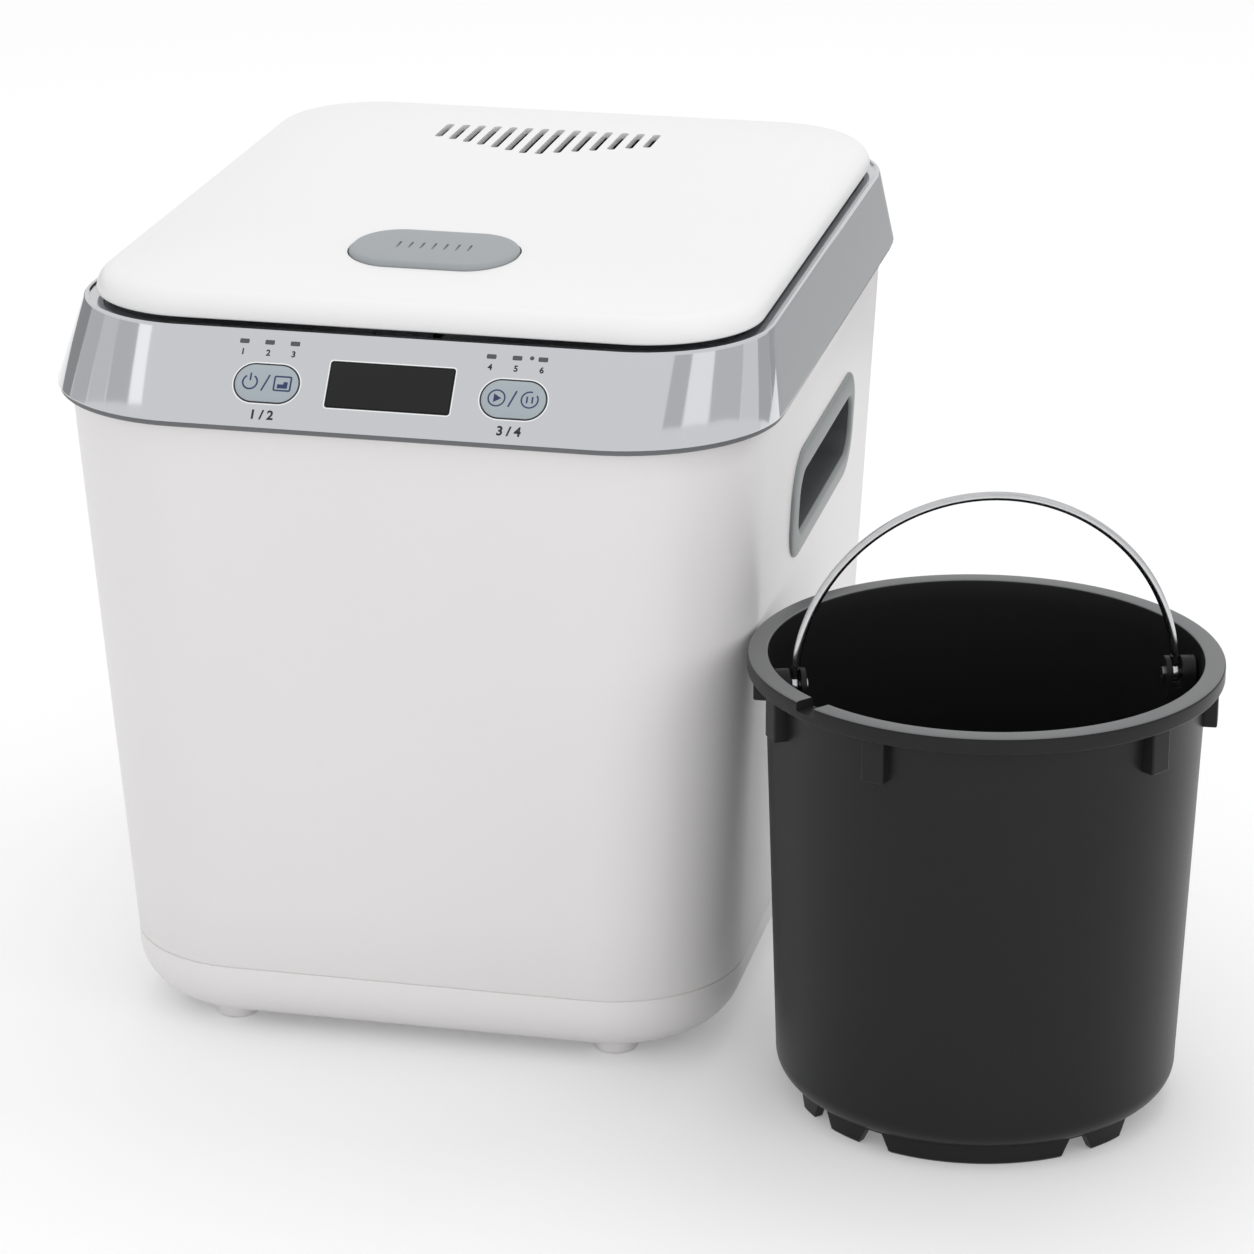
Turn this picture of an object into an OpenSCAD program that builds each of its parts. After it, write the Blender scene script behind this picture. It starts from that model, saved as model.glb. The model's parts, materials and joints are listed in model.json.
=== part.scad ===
// Electric food waste composter with its lift-out bucket standing beside it.
// Millimetres. X runs to the right, Y to the back, Z up. The origin is on the floor,
// under the middle of the machine's widest line.

/* [Trim ring] */
// Width across the widest line of the trim
trim_w = 280; // [272:1:292]
// Depth across the widest line of the trim
trim_d = 363; // [357:1:375]
// Corner radius on the widest line
trim_r = 60.7; // [58:0.1:64]
// Height of the widest line above the floor
trim_z = 261; // [261:1:266]
// Height of the sloping band
trim_h = 30; // [30:0.5:32]
// How far the band leans in at the sides
trim_side_in = 6.6; // [6:0.1:8]
// How far the band leans in at the front, where the controls are
trim_front_in = 24.6; // [24:0.1:25.5]
// How far the band leans in at the back
trim_back_in = 10; // [10:0.1:11]
// Corner radius of the band's upper edge
trim_top_r = 50; // [48:0.5:53]
// Level thickness of the trim's band and flange
trim_t = 2.8; // [2.6:0.1:3]
// Width of the flange round the top
flange_w = 8; // [7:0.5:8.5]
// Width of the raised line on the flange's outer edge
bead_w = 1.4; // [1:0.1:1.8]
// Height of that raised line
bead_h = 1.2; // [0.6:0.1:1.6]
// Height of the dark strip under the trim
strip_h = 2; // [1.5:0.1:3]
// How far the strip stands back from the widest line
strip_in = 1; // [0.5:0.1:2]

/* [Body] */
// Wall of the body and of the base cover
wall = 2.5; // [2:0.1:2.8]
// How far the body's top edge stands back from the widest line
body_top_in = 3.8; // [3.4:0.1:4.2]
// How far the wall stands back under the cove
body_in = 6.3; // [5.8:0.1:6.8]
// Height of the cove under the trim
cove_h = 13; // [10:1:16]
// Height of the parting line
parting_z = 30.4; // [29:0.2:32]
// How far the parting line stands back at the sides
parting_side_in = 17.7; // [16:0.1:19]
// How far the parting line stands back at the front
parting_front_in = 26.6; // [25:0.1:28]
// How far the parting line stands back at the back
parting_back_in = 9; // [8.6:0.1:10]
// Corner radius at the parting line
parting_r = 51; // [48:0.5:54]
// Corner radius under the cove
body_r = 55; // [52:0.5:58]
// Depth of the groove at the parting line
groove = 0.7; // [0.4:0.1:1]
// Height of the base cover's underside
base_z = 5; // [4:0.2:6]
// Radius between the base cover's wall and its underside
base_round = 22; // [18:0.5:23]
// Radius of a foot
foot_r = 8.8; // [8:0.1:10]
// Distance of the feet from the middle, left and right
foot_x = 77; // [70:1:84]
// Place of the front feet
foot_front_y = -128; // [-128:1:-112]
// Place of the back feet
foot_back_y = 145.6; // [130:0.2:146]

/* [Side handles] */
// Length of the bezel
handle_l = 136; // [130:1:142]
// Height of the bezel
handle_h = 45; // [42:0.5:48]
// Corner radius of the bezel
handle_r = 18; // [16:0.5:20]
// Length of the finger opening
grip_l = 116; // [104:1:118]
// Height of the finger opening
grip_h = 25; // [24:0.5:27]
// Corner radius of the finger opening
grip_r = 9; // [8:0.5:10]
// Depth of the finger pocket
grip_depth = 20; // [16:0.5:22]
// Place of the handle along the machine
handle_y = 8; // [0:1:16]
// Height of the handle
handle_z = 200.5; // [196:0.5:203]

/* [Lid] */
// How far the lid stands back from the trim's upper edge at the sides
lid_side_gap = 4.4; // [4:0.1:5]
// How far it stands back at the front
lid_front_gap = 6.3; // [6:0.1:7]
// How far it stands back at the back
lid_back_gap = 3.5; // [3.2:0.1:4]
// Corner radius of the lid
lid_r = 44.4; // [42:0.1:47]
// Gap between the trim's upper edge and the lid
lid_gap = 1.2; // [1:0.1:1.6]
// Radius of the lid's rolled edge
lid_roll = 9; // [8.4:0.1:9.6]
// Height of the crown above the rolled edge
crown_h = 7.2; // [6:0.1:9]
// Wall of the lid
lid_t = 2.4; // [2:0.1:2.6]
// Thickness of the lid liner
liner_plate_t = 2.4; // [2:0.1:2.6]
// Width of the lid button
button_w = 65; // [58:0.5:70]
// Depth of the lid button
button_d = 40; // [38:0.5:44]
// Corner radius of the lid button
button_r = 18.5; // [14:0.5:18.5]
// Place of the lid button
button_y = -96.5; // [-100:0.5:-92]
// Travel of the lid button
button_travel = 3; // [2:0.1:3]
// Number of vent slots
vents = 14; // [8:1:14]
// Distance between vent slots
vent_pitch = 6.8; // [5:0.1:8]
// Width of a vent slot
vent_w = 2.5; // [1.5:0.1:3]
// Length of the longest vent slots, in the middle
vent_long = 40.2; // [30:0.5:44]
// How much shorter each slot is than the one before, away from the middle
vent_step = 3.6; // [3:0.1:4.2]
// Place of the slots' far ends
vent_back_y = 99; // [95:0.5:103]

/* [Control panel] */
// Width of a push button
key_w = 24.1; // [22:0.1:26]
// Height of a push button
key_h = 14.5; // [13:0.1:15.5]
// Distance of the push buttons from the panel's middle
key_x = 46.7; // [45:0.1:48]
// Height of the push buttons up the slope
key_s = 17.8; // [17:0.1:19]
// Travel of a push button
key_travel = 0.8; // [0.5:0.05:0.9]
// Width of the display window
window_w = 46.3; // [40:0.1:48]
// Height of the display window
window_h = 17.5; // [15:0.1:19]
// Height of the window's middle up the slope
window_s = 19.2; // [18:0.1:20]
// Place of the panel's middle line
panel_x = 2; // [0:0.1:3]
// Width of an indicator lens
lens_w = 3.4; // [2.5:0.1:4]
// Height of an indicator lens
lens_h = 1.6; // [1.2:0.1:1.8]
// Distance between indicator lenses
lens_pitch = 9.7; // [8:0.1:10]
// Height of the lenses up the slope
lens_s = 34.2; // [33.8:0.1:34.5]
// Clearance round buttons, lenses and windows
fit_gap = 0.2; // [0.15:0.05:0.25]

/* [Chamber] */
// Place of the chamber's axis, behind the front
well_y = -34; // [-34:0.5:-32]
// Inner radius of the chamber
well_r = 92.5; // [91.5:0.1:92.6]
// Wall of the chamber liner
well_t = 1.5; // [1:0.1:1.5]
// Height of the chamber's floor
well_floor_z = 106; // [106:0.5:108]
// Width of the liner's flange
well_flange = 7; // [5:0.5:7]
// Thickness of the top deck
deck_t = 2.5; // [2:0.1:2.8]
// Thickness of the chassis plate
chassis_t = 3.6; // [3:0.1:4]

/* [Drive] */
// Teeth of the output gear
output_teeth = 60; // [56:2:60]
// Teeth of the intermediate wheel
wheel_teeth = 48; // [44:2:48]
// Teeth of both pinions
pinion_teeth = 14; // [14:1:15]
// Module of the slow pair
slow_module = 1.25; // [1.2:0.01:1.25]
// Module of the fast pair
fast_module = 1; // [0.95:0.01:1]
// Play added between the axes of each pair
gear_play = 0.12; // [0.1:0.01:0.2]
// Radius of the drive shaft
shaft_r = 4; // [3.5:0.1:4.2]
// Radial clearance of a running shaft
run_gap = 0.05; // [0.03:0.01:0.08]
// Radius of the motor
motor_r = 20; // [18:0.5:21]

/* [Air path] */
// Height of the fan's axis and of the filter bay's middle
fan_z = 212; // [211:0.5:212.5]
// Side of the fan's frame
fan_side = 60; // [58:1:61]
// Thickness of the fan
fan_t = 18; // [16:0.5:20]
// Width of the filter bay
bay_w = 108; // [100:1:112]
// Wall of the filter bay and of the tray
bay_t = 2; // [1.6:0.1:2.2]
// Clearance under the tray
tray_gap = 0.3; // [0.2:0.05:0.4]

/* [Bucket] */
// Place of the bucket beside the machine, to the right
bucket_x = 218.6; // [218:0.2:240]
// Place of the bucket, front to back
bucket_y = -131; // [-150:0.5:-131]
// Outer radius of the rim
rim_r = 88.5; // [87:0.1:89]
// Height of the rim's upper face
rim_z = 176.5; // [174:0.5:178]
// Height of the rim
rim_h = 6.5; // [5:0.1:8]
// Outer radius of the pail under the rim
pail_top_r = 81.8; // [81:0.1:82.5]
// Outer radius of the pail at the bottom
pail_bottom_r = 76.1; // [75:0.1:78]
// Wall of the pail
pail_t = 2; // [1.6:0.1:2.2]
// Radius between the pail's wall and its bottom
pail_round = 10; // [8:0.5:12]
// Height of the foot ring
foot_ring_h = 7; // [7:0.5:9]
// Outer radius of the foot ring
foot_ring_r = 69.5; // [68:0.1:71]
// Turn of the bail's axis, seen from above
bail_turn = 18; // [0:1:40]
// Radius of the bail's bow
bail_r = 71.5; // [71:0.1:72]
// Radius of the bail's wire
wire_r = 1.65; // [1.4:0.05:1.8]
// Height of the bail's axis
bail_z = 166; // [164:0.5:166]

/* [Hidden] */
$fn = 64;
corner_seg = 8;
e = 0.01;
body_white = [0.88, 0.87, 0.87];
silver = [0.75, 0.75, 0.77];
dark = [0.2, 0.2, 0.21];
steel = [0.7, 0.71, 0.73];

hx = trim_w/2;
hy = trim_d/2;
ring_z = trim_z + trim_h;
body_top_z = trim_z - strip_h;
cove_z = body_top_z - cove_h;
flange_z = ring_z - bead_h;
flange_low_z = flange_z - 3;
deck_in = 5;
deck_z = flange_low_z - deck_t;
chassis_z = parting_z + chassis_t;

// Rounded outlines: every ring has the same corner angles, so lofts between them are flat-sided.
function rr_ring(half_x, front, back, r, z) = [
    for (q = [0:3], k = [0:corner_seg])
        let (a = 90*q + 90*k/corner_seg,
            cx = (q == 0 || q == 3) ? half_x - r : r - half_x,
            cy = q < 2 ? back - r : front + r)
        [cx + r*cos(a), cy + r*sin(a), z]];
function trim_ring_at(t, more, z) = rr_ring(hx - t*trim_side_in - more, -hy + t*trim_front_in + more,
    hy - t*trim_back_in - more, trim_r + t*(trim_top_r - trim_r) - more, z);
function body_ring(z, more) =
    let (t = min(1, (z - parting_z)/(cove_z - parting_z)),
        u = max(0, (z - cove_z)/cove_h),
        cove = (body_in - body_top_in)*u*u)
    rr_ring(hx - mix(parting_side_in, body_in, t) + cove - more,
        -hy + mix(parting_front_in, body_in, t) - cove + more,
        hy - mix(parting_back_in, body_in, t) + cove - more,
        mix(parting_r, body_r, t) + cove - more, z);
function base_ring(inset, z) = rr_ring(hx - parting_side_in - inset, -hy + parting_front_in + inset,
    hy - parting_back_in - inset, parting_r - inset, z);
function mix(a, b, t) = a + (b - a)*t;
function flat(ring) = [for (p = ring) [p.x, p.y]];
function tilted(ring, y0, slope) = [for (p = ring) [p.x, p.y, p.z + (p.y - y0)*slope]];
function steps(n) = [for (k = [0:n]) k/n];

// A solid through a list of rings, with flat ends, or a hollow band where the list closes.
module loft(rings, closed = false) {
    m = len(rings[0]);
    n = len(rings);
    sides = [for (j = [0 : closed ? n - 1 : n - 2], i = [0:m - 1])
        let (up = ((j + 1)%n)*m, next = (i + 1)%m)
        [j*m + i, up + i, up + next, j*m + next]];
    ends = closed ? [] : [[for (i = [0:m - 1]) i], [for (i = [m - 1:-1:0]) (n - 1)*m + i]];
    polyhedron([for (ring = rings, p = ring) p], concat(sides, ends), convexity = 10);
}
module slab(ring, z, h) {
    translate([0, 0, z]) linear_extrude(h) polygon(flat(ring));
}
module block(low, high) {
    translate(low) cube(high - low);
}
module tube(r, bore, h) {
    difference() {
        cylinder(r = r, h = h);
        translate([0, 0, -1]) cylinder(r = bore, h = h + 2);
    }
}
module pill(w, h, t) {
    linear_extrude(t) union() {
        square([w - h, h], center = true);
        for (side = [-1, 1]) translate([side*(w - h)/2, 0]) circle(d = h);
    }
}

// Control panel frame: X along the panel, Y up the slope, Z out of it.
panel_l = sqrt(trim_front_in*trim_front_in + trim_h*trim_h);
panel_tilt = atan2(trim_h, trim_front_in);
panel_wall = trim_t*trim_h/panel_l;
board_face = -6.9;
board_t = 1.6;
board_half = 68;
board_low_s = 6;
board_high_s = 35.6;
boss_x = 64.5;
boss_s = [9, 32.5];
module on_panel(x, s, out = 0) {
    translate([x, -hy, trim_z]) rotate([panel_tilt, 0, 0]) translate([0, s, out]) children();
}

// Side wall frame: X along the machine, Y up the wall, Z out of it. The left side is its mirror image.
wall_lean = atan2(parting_side_in - body_in, cove_z - parting_z);
function wall_x(z) = hx - mix(parting_side_in, body_in, (z - parting_z)/(cove_z - parting_z));
module on_wall(y, z) {
    translate([wall_x(z), y, z]) rotate([0, wall_lean, 0]) rotate([90, 0, 90]) children();
}
function cup_ring(l, h, r, out) = rr_ring(l/2, -h/2, h/2, r, out);

// ---- casing ----

rear_x = 58;
rear_half_h = 32;
rear_gap = 0.5;
inlet_x = 76;
inlet_z = 64;
inlet_half = [14, 12];
module body_shell() color(body_white) difference() {
    outer = concat([body_ring(parting_z, groove), body_ring(parting_z + groove, 0)],
        [for (t = steps(5)) body_ring(cove_z + t*cove_h, 0)]);
    inner = [body_ring(body_top_z, wall), body_ring(cove_z + 0.6*cove_h, wall),
        body_ring(cove_z, wall), body_ring(parting_z, wall)];
    loft(concat(outer, inner), closed = true);
    for (side = [0, 1]) mirror([side, 0, 0]) on_wall(handle_y, handle_z)
        translate([0, 0, -wall - 3]) linear_extrude(wall + 6)
            polygon(flat(cup_ring(handle_l - 5, handle_h - 4, handle_r - 2, 0)));
    block([-rear_x - rear_gap, hy - 25, fan_z - rear_half_h - rear_gap],
        [rear_x + rear_gap, hy + 5, fan_z + rear_half_h + rear_gap]);
    block([inlet_x - inlet_half.x, hy - 25, inlet_z - inlet_half.y],
        [inlet_x + inlet_half.x, hy + 5, inlet_z + inlet_half.y]);
}

screw_x = 88;
screw_y = [-104, 122];
screw_r = 2;
screw_head_r = 4;
screw_head_z = base_z + wall + 3;
screw_gap = 0.1;
module at_screws() {
    for (x = [-screw_x, screw_x], y = screw_y) translate([x, y, 0]) children();
}
module at_feet() {
    for (x = [-foot_x, foot_x], y = [foot_front_y, foot_back_y]) translate([x, y, 0]) children();
}
foot_top_z = base_z + 1;
module base_cover() color(body_white) difference() {
    union() {
        loft(concat(
            [for (t = steps(6)) base_ring(base_round*(1 - sin(90*t)), base_z + base_round*(1 - cos(90*t)))],
            [base_ring(0, parting_z), base_ring(wall, parting_z)],
            [for (t = steps(6)) base_ring(wall + (base_round - wall)*(1 - cos(90*t)),
                base_z + base_round - (base_round - wall)*sin(90*t))]));
        at_screws() translate([0, 0, base_z + 1])
            cylinder(r = screw_head_r + 2.5, h = parting_z - base_z - 1);
    }
    translate([0, 0, -10]) cube([4*hx, 4*hy, 2*(base_z + 10)], center = true);
    at_screws() translate([0, 0, -1]) cylinder(r = screw_head_r + 0.2, h = screw_head_z + 1);
    at_screws() cylinder(r = screw_r + 0.2, h = parting_z + 1);
    at_feet() translate([0, 0, -1]) cylinder(r = foot_r, h = foot_top_z + 1);
}

module foot_pads() color("white") at_feet() cylinder(r = foot_r, h = foot_top_z);

module base_screws() color(steel) at_screws() {
    difference() {
        union() {
            translate([0, 0, screw_head_z - 2.6]) cylinder(r = screw_head_r, h = 2.6);
            translate([0, 0, screw_head_z - 1]) cylinder(r = screw_r, h = chassis_z - screw_head_z + 7);
        }
        translate([0, 0, screw_head_z - 3]) block([-2.6, -0.5, 0], [2.6, 0.5, 1.4]);
        translate([0, 0, screw_head_z - 3]) block([-0.5, -2.6, 0], [0.5, 2.6, 1.4]);
    }
}

post_x = 103;
post_y = [-108, 132];
post_r = 5;
board_post = [[-93, 74], [-39, 74], [-93, 146], [-39, 146]];
board_post_h = 8;
module chassis_plate() color(steel) difference() {
    union() {
        slab(base_ring(wall + 0.6, 0), parting_z, chassis_t);
        at_screws() translate([0, 0, chassis_z - e]) cylinder(r = 4.5, h = 7);
        for (p = board_post) translate([p.x, p.y, chassis_z - e]) cylinder(r = 3, h = board_post_h + e);
    }
    at_screws() translate([0, 0, parting_z - 1]) cylinder(r = screw_r + screw_gap, h = chassis_t + 12);
}

module frame_posts() color(steel) for (x = [-post_x, post_x], y = post_y)
    translate([x, y, chassis_z]) tube(post_r, post_r - 1.5, deck_z - chassis_z);

slot_half = 13;
slot_front_y = -hy + trim_front_in + deck_in + 7.4;
slot_back_y = well_y - well_r + 4;
module top_deck() color([0.6, 0.61, 0.62]) difference() {
    slab(trim_ring_at(1, deck_in, 0), deck_z, deck_t);
    translate([0, well_y, deck_z - 1]) cylinder(r = well_r + well_t + 0.3, h = deck_t + 2);
    block([-slot_half, slot_front_y, deck_z - 1], [slot_half, slot_back_y, deck_z + deck_t + 1]);
}

// ---- trim ring and control panel ----

key_clear = 2*fit_gap;
lens_mid_x = 0.8;
lens_group_x = 46.95;
module at_lenses(side) {
    for (k = [-1:1]) on_panel(lens_mid_x + side*lens_group_x + k*lens_pitch, lens_s)
        children();
}
dot_x = 51.2;
dot_r = 0.7;
module trim_ring() color(silver) difference() {
    union() {
        loft([trim_ring_at(0, 0, trim_z), trim_ring_at(1, 0, ring_z), trim_ring_at(1, bead_w, ring_z),
            trim_ring_at(1, bead_w + 0.5, flange_z), trim_ring_at(1, flange_w, flange_z),
            trim_ring_at(1, flange_w, flange_low_z),
            trim_ring_at((flange_low_z - trim_z)/trim_h, trim_t, flange_low_z),
            trim_ring_at(0, trim_t, trim_z)], closed = true);
        for (x = [-boss_x, boss_x], s = boss_s) on_panel(panel_x + x, s, board_face)
            cylinder(r = 2.2, h = -board_face - 1);
    }
    for (side = [-1, 1]) on_panel(panel_x + side*key_x, key_s, board_face)
        pill(key_w + key_clear, key_h + key_clear, 10);
    on_panel(panel_x, window_s, -5)
        block([-window_w/2 - fit_gap, -window_h/2 - fit_gap, 0], [window_w/2 + fit_gap, window_h/2 + fit_gap, 8]);
    for (side = [-1, 1]) at_lenses(side) block([-lens_w/2 - fit_gap/2, -lens_h/2 - fit_gap/2, -8],
        [lens_w/2 + fit_gap/2, lens_h/2 + fit_gap/2, 4]);
    on_panel(panel_x + dot_x, lens_s + 0.3, -8) cylinder(r = dot_r + fit_gap/2, h = 12);
}

module trim_strip() color([0.4, 0.4, 0.41]) loft([trim_ring_at(0, strip_in, body_top_z),
    trim_ring_at(0, strip_in, trim_z), trim_ring_at(0, body_top_in + wall, trim_z),
    trim_ring_at(0, body_top_in + wall, body_top_z)], closed = true);

window_proud = 0.15;
module display_window() color([0.1, 0.1, 0.11]) on_panel(panel_x, window_s, -panel_wall)
    block([-window_w/2, -window_h/2, 0], [window_w/2, window_h/2, panel_wall + window_proud]);

module display_module() color([0.15, 0.2, 0.18]) on_panel(panel_x, window_s, board_face)
    block([-window_w/2 - 2, -window_h/2 - 1.5, 0],
        [window_w/2 + 2, window_h/2 + 1.5, -board_face - panel_wall - 0.05]);

module indicator_lenses() color([0.3, 0.3, 0.32]) for (side = [-1, 1]) at_lenses(side)
    block([-lens_w/2, -lens_h/2, board_face], [lens_w/2, lens_h/2, window_proud]);
module indicator_dot() color([0.3, 0.3, 0.32]) on_panel(panel_x + dot_x, lens_s + 0.3, board_face)
    cylinder(r = dot_r, h = -board_face + window_proud);

module panel_board() color([0.1, 0.4, 0.2]) on_panel(panel_x, 0, board_face - board_t)
    block([-board_half, board_low_s, 0], [board_half, board_high_s, board_t]);

switch_top = board_face + 1.2;
module panel_switches() color(dark) for (side = [-1, 1]) on_panel(panel_x + side*key_x, key_s, board_face) {
    block([-3, -3, 0], [3, 3, 0.8]);
    cylinder(r = 1.6, h = switch_top - board_face);
}

key_proud = 0.8;
key_flange = 1.2;
key_flange_top = -panel_wall - fit_gap;
key_flange_t = 1.5;
module panel_key(side) on_panel(panel_x + side*key_x, key_s) {
    translate([0, 0, key_flange_top - 0.5]) pill(key_w, key_h, key_proud - key_flange_top + 0.5);
    translate([0, 0, key_flange_top - key_flange_t])
        pill(key_w + 2*key_flange, key_h + 2*key_flange, key_flange_t);
    translate([0, 0, switch_top + key_travel + 0.1])
        cylinder(r = 2, h = key_flange_top - switch_top - key_travel - 0.2);
}
module power_button() color([0.7, 0.73, 0.8]) panel_key(-1);
module enter_button() color([0.7, 0.73, 0.8]) panel_key(1);

// ---- side handles ----

cup_t = 2;
bezel_proud = 2;
module handle_cup() on_wall(handle_y, handle_z) loft([
    cup_ring(grip_l + 2*cup_t, grip_h + 2*cup_t, grip_r + cup_t, -grip_depth - cup_t),
    cup_ring(grip_l + 2*cup_t, grip_h + 2*cup_t, grip_r + cup_t, -6),
    cup_ring(handle_l - 9, handle_h - 7, handle_r - 3, -wall),
    cup_ring(handle_l - 6, handle_h - 5, handle_r - 2.5, 0),
    cup_ring(handle_l, handle_h, handle_r, 0),
    cup_ring(handle_l, handle_h, handle_r, bezel_proud - 1.3),
    cup_ring(handle_l - 2, handle_h - 2, handle_r - 1, bezel_proud - 0.6),
    cup_ring(handle_l - 6, handle_h - 6, handle_r - 3, bezel_proud - 0.2),
    cup_ring(grip_l + 4, grip_h + 4, grip_r + 2, bezel_proud),
    cup_ring(grip_l + 1.4, grip_h + 1.4, grip_r + 0.7, bezel_proud - 0.4),
    cup_ring(grip_l, grip_h, grip_r, bezel_proud - 1.6),
    cup_ring(grip_l - 2, grip_h - 2, grip_r - 1, -grip_depth)]);
module handle_cups() color([0.55, 0.57, 0.57]) for (side = [0, 1]) mirror([side, 0, 0]) handle_cup();

// ---- chamber ----

well_low_z = well_floor_z - well_t;
port_r = 20;
seal_r = 9;
module at_well(z = 0) {
    translate([0, well_y, z]) children();
}
module chamber_liner() color([0.8, 0.8, 0.82]) difference() {
    at_well() rotate_extrude($fn = 96) polygon([[seal_r, well_low_z], [well_r + well_t, well_low_z],
        [well_r + well_t, deck_z + deck_t], [well_r + well_t + well_flange, deck_z + deck_t],
        [well_r + well_t + well_flange, deck_z + deck_t + well_t], [well_r, deck_z + deck_t + well_t],
        [well_r, well_floor_z], [seal_r, well_floor_z]]);
    at_well(fan_z) rotate([-90, 0, 0]) cylinder(r = port_r, h = well_r + 20);
}

heater_t = 6;
heater_bore = 34;
module heater_plate() color([0.45, 0.4, 0.38]) at_well(well_low_z - heater_t)
    tube(well_r - 14, heater_bore, heater_t);

module temperature_sensor() color("gold") at_well(well_low_z - 8) translate([-(well_r - 8), 0, 0]) {
    cylinder(r = 4, h = 8);
    translate([0, 0, -4]) cylinder(r = 1.5, h = 5);
}

// ---- drive ----

slow_axes = slow_module*(output_teeth + pinion_teeth)/2 + gear_play;
fast_axes = fast_module*(wheel_teeth + pinion_teeth)/2 + gear_play;
middle_y = well_y + slow_axes;
motor_y = middle_y + fast_axes;
floor_z = 70;
floor_t = 3;
cover_z = 95;
cover_t = 3;
box_wall = 2;
bearing_r = 11;
bearing_t = 7;
boss_r = 15;
lower_bearing_z = floor_z - 6;
wheel_z = 77;
wheel_t = 5;
output_z = 83.6;
output_t = 8;

// Involute teeth with a stub tip and a little play, as one outline.
pressure = 20;
function involute(base, r) = let (a = acos(min(1, base/r))) tan(a)*180/PI - a;
function gear_points(teeth, m) =
    let (pitch = teeth*m/2, base = pitch*cos(pressure), tip = pitch + 0.8*m, root = pitch - m,
        half = 90/teeth - 0.06*m/pitch*180/PI,
        low = max(base, root + 0.1*m),
        flank = [[root, half + involute(base, pitch)], for (t = steps(3)) let (r = mix(low, tip, t))
            [r, half + involute(base, pitch) - involute(base, r)]])
    [for (k = [0:teeth - 1]) each concat(
        [for (f = flank) f[0]*[cos(360*k/teeth - f[1]), sin(360*k/teeth - f[1])]],
        [for (i = [len(flank) - 1:-1:0]) let (f = flank[i])
            f[0]*[cos(360*k/teeth + f[1]), sin(360*k/teeth + f[1])]])];
module gear(teeth, m, t, turn) {
    rotate(turn) linear_extrude(t) polygon(gear_points(teeth, m));
}
module gearbox_outline(more) {
    translate([0, well_y]) circle(r = slow_module*output_teeth/2 + 3.5 + more, $fn = 96);
    translate([0, motor_y]) circle(r = motor_r + 7 + more, $fn = 96);
    translate([-motor_r - 7 - more, well_y]) square([2*(motor_r + 7 + more), motor_y - well_y]);
}
leg = [33, 20];
middle_r = 3;
module gearbox_housing() color([0.6, 0.6, 0.62]) difference() {
    union() {
        translate([0, 0, floor_z]) linear_extrude(cover_z - floor_z) gearbox_outline(box_wall);
        at_well(lower_bearing_z - 2) cylinder(r = boss_r, h = floor_z - lower_bearing_z + 3);
        for (side = [-1, 1]) {
            translate([side*leg.x, well_y, chassis_z]) cylinder(r = 4, h = floor_z - chassis_z + 1);
            translate([side*leg.y, motor_y + 18, chassis_z]) cylinder(r = 4, h = floor_z - chassis_z + 1);
        }
    }
    translate([0, 0, floor_z + floor_t]) linear_extrude(cover_z) gearbox_outline(0);
    at_well(lower_bearing_z) cylinder(r = bearing_r + e, h = 20);
    at_well(lower_bearing_z - 5) cylinder(r = shaft_r + 2, h = 20);
    translate([0, middle_y, floor_z - 1]) cylinder(r = middle_r, h = floor_t + 2);
    translate([0, motor_y, floor_z - 1]) cylinder(r = 9, h = floor_t + 2);
}

module gearbox_cover() color([0.62, 0.62, 0.64]) difference() {
    union() {
        translate([0, 0, cover_z]) linear_extrude(cover_t) gearbox_outline(box_wall);
        at_well(cover_z) cylinder(r = boss_r, h = bearing_t + 1.5);
    }
    at_well(cover_z - 1) cylinder(r = bearing_r + e, h = bearing_t + 2);
    at_well(cover_z) cylinder(r = shaft_r + 2, h = 20);
    translate([0, middle_y, cover_z - 1]) cylinder(r = middle_r, h = cover_t + 2);
}

module shaft_bearings() color(steel) for (z = [lower_bearing_z, cover_z])
    at_well(z) tube(bearing_r, shaft_r + run_gap, bearing_t);

seal_low_z = cover_z + bearing_t + 1.5;
module shaft_seal() color(dark) at_well(seal_low_z)
    tube(seal_r - e, shaft_r + run_gap, well_floor_z - seal_low_z + 1);

coupling_z = well_floor_z + 1.2;
dog_count = 3;
module dogs(inner, outer, h) for (k = [0:dog_count - 1]) rotate(360*k/dog_count)
    block([inner, -2.5, 0], [outer, 2.5, h]);
module drive_shaft() color(steel) at_well(lower_bearing_z - 1)
    cylinder(r = shaft_r, h = coupling_z + 1.6 - lower_bearing_z + 1);
module drive_coupling() color(dark) at_well(coupling_z) difference() {
    union() {
        cylinder(r = 14, h = 1.6);
        translate([0, 0, 1]) dogs(9, 13.4, 2.7);
        cylinder(r = 7, h = 3);
    }
    translate([0, 0, -1]) cylinder(r = shaft_r + e, h = 2.6);
}
module output_gear() color([0.85, 0.82, 0.7]) at_well(output_z) difference() {
    union() {
        gear(output_teeth, slow_module, output_t, 0);
        translate([0, 0, -4]) cylinder(r = 9, h = 5);
    }
    translate([0, 0, -5]) cylinder(r = shaft_r + e, h = output_t + 6);
}
module intermediate_shaft() color(steel) translate([0, middle_y, floor_z])
    cylinder(r = middle_r - e, h = cover_z + cover_t - floor_z);
module intermediate_gear() color([0.85, 0.82, 0.7]) translate([0, middle_y, wheel_z]) difference() {
    union() {
        gear(wheel_teeth, fast_module, wheel_t, 0);
        translate([0, 0, wheel_t - 1]) gear(pinion_teeth, slow_module, output_z + output_t - wheel_z - wheel_t + 2,
            270 + 180/pinion_teeth);
        translate([0, 0, floor_z + floor_t + 0.3 - wheel_z]) cylinder(r = 5.5, h = wheel_z - floor_z - floor_t);
    }
    translate([0, 0, -6]) cylinder(r = middle_r + run_gap, h = 40);
}
motor_shaft_r = 2.5;
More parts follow.
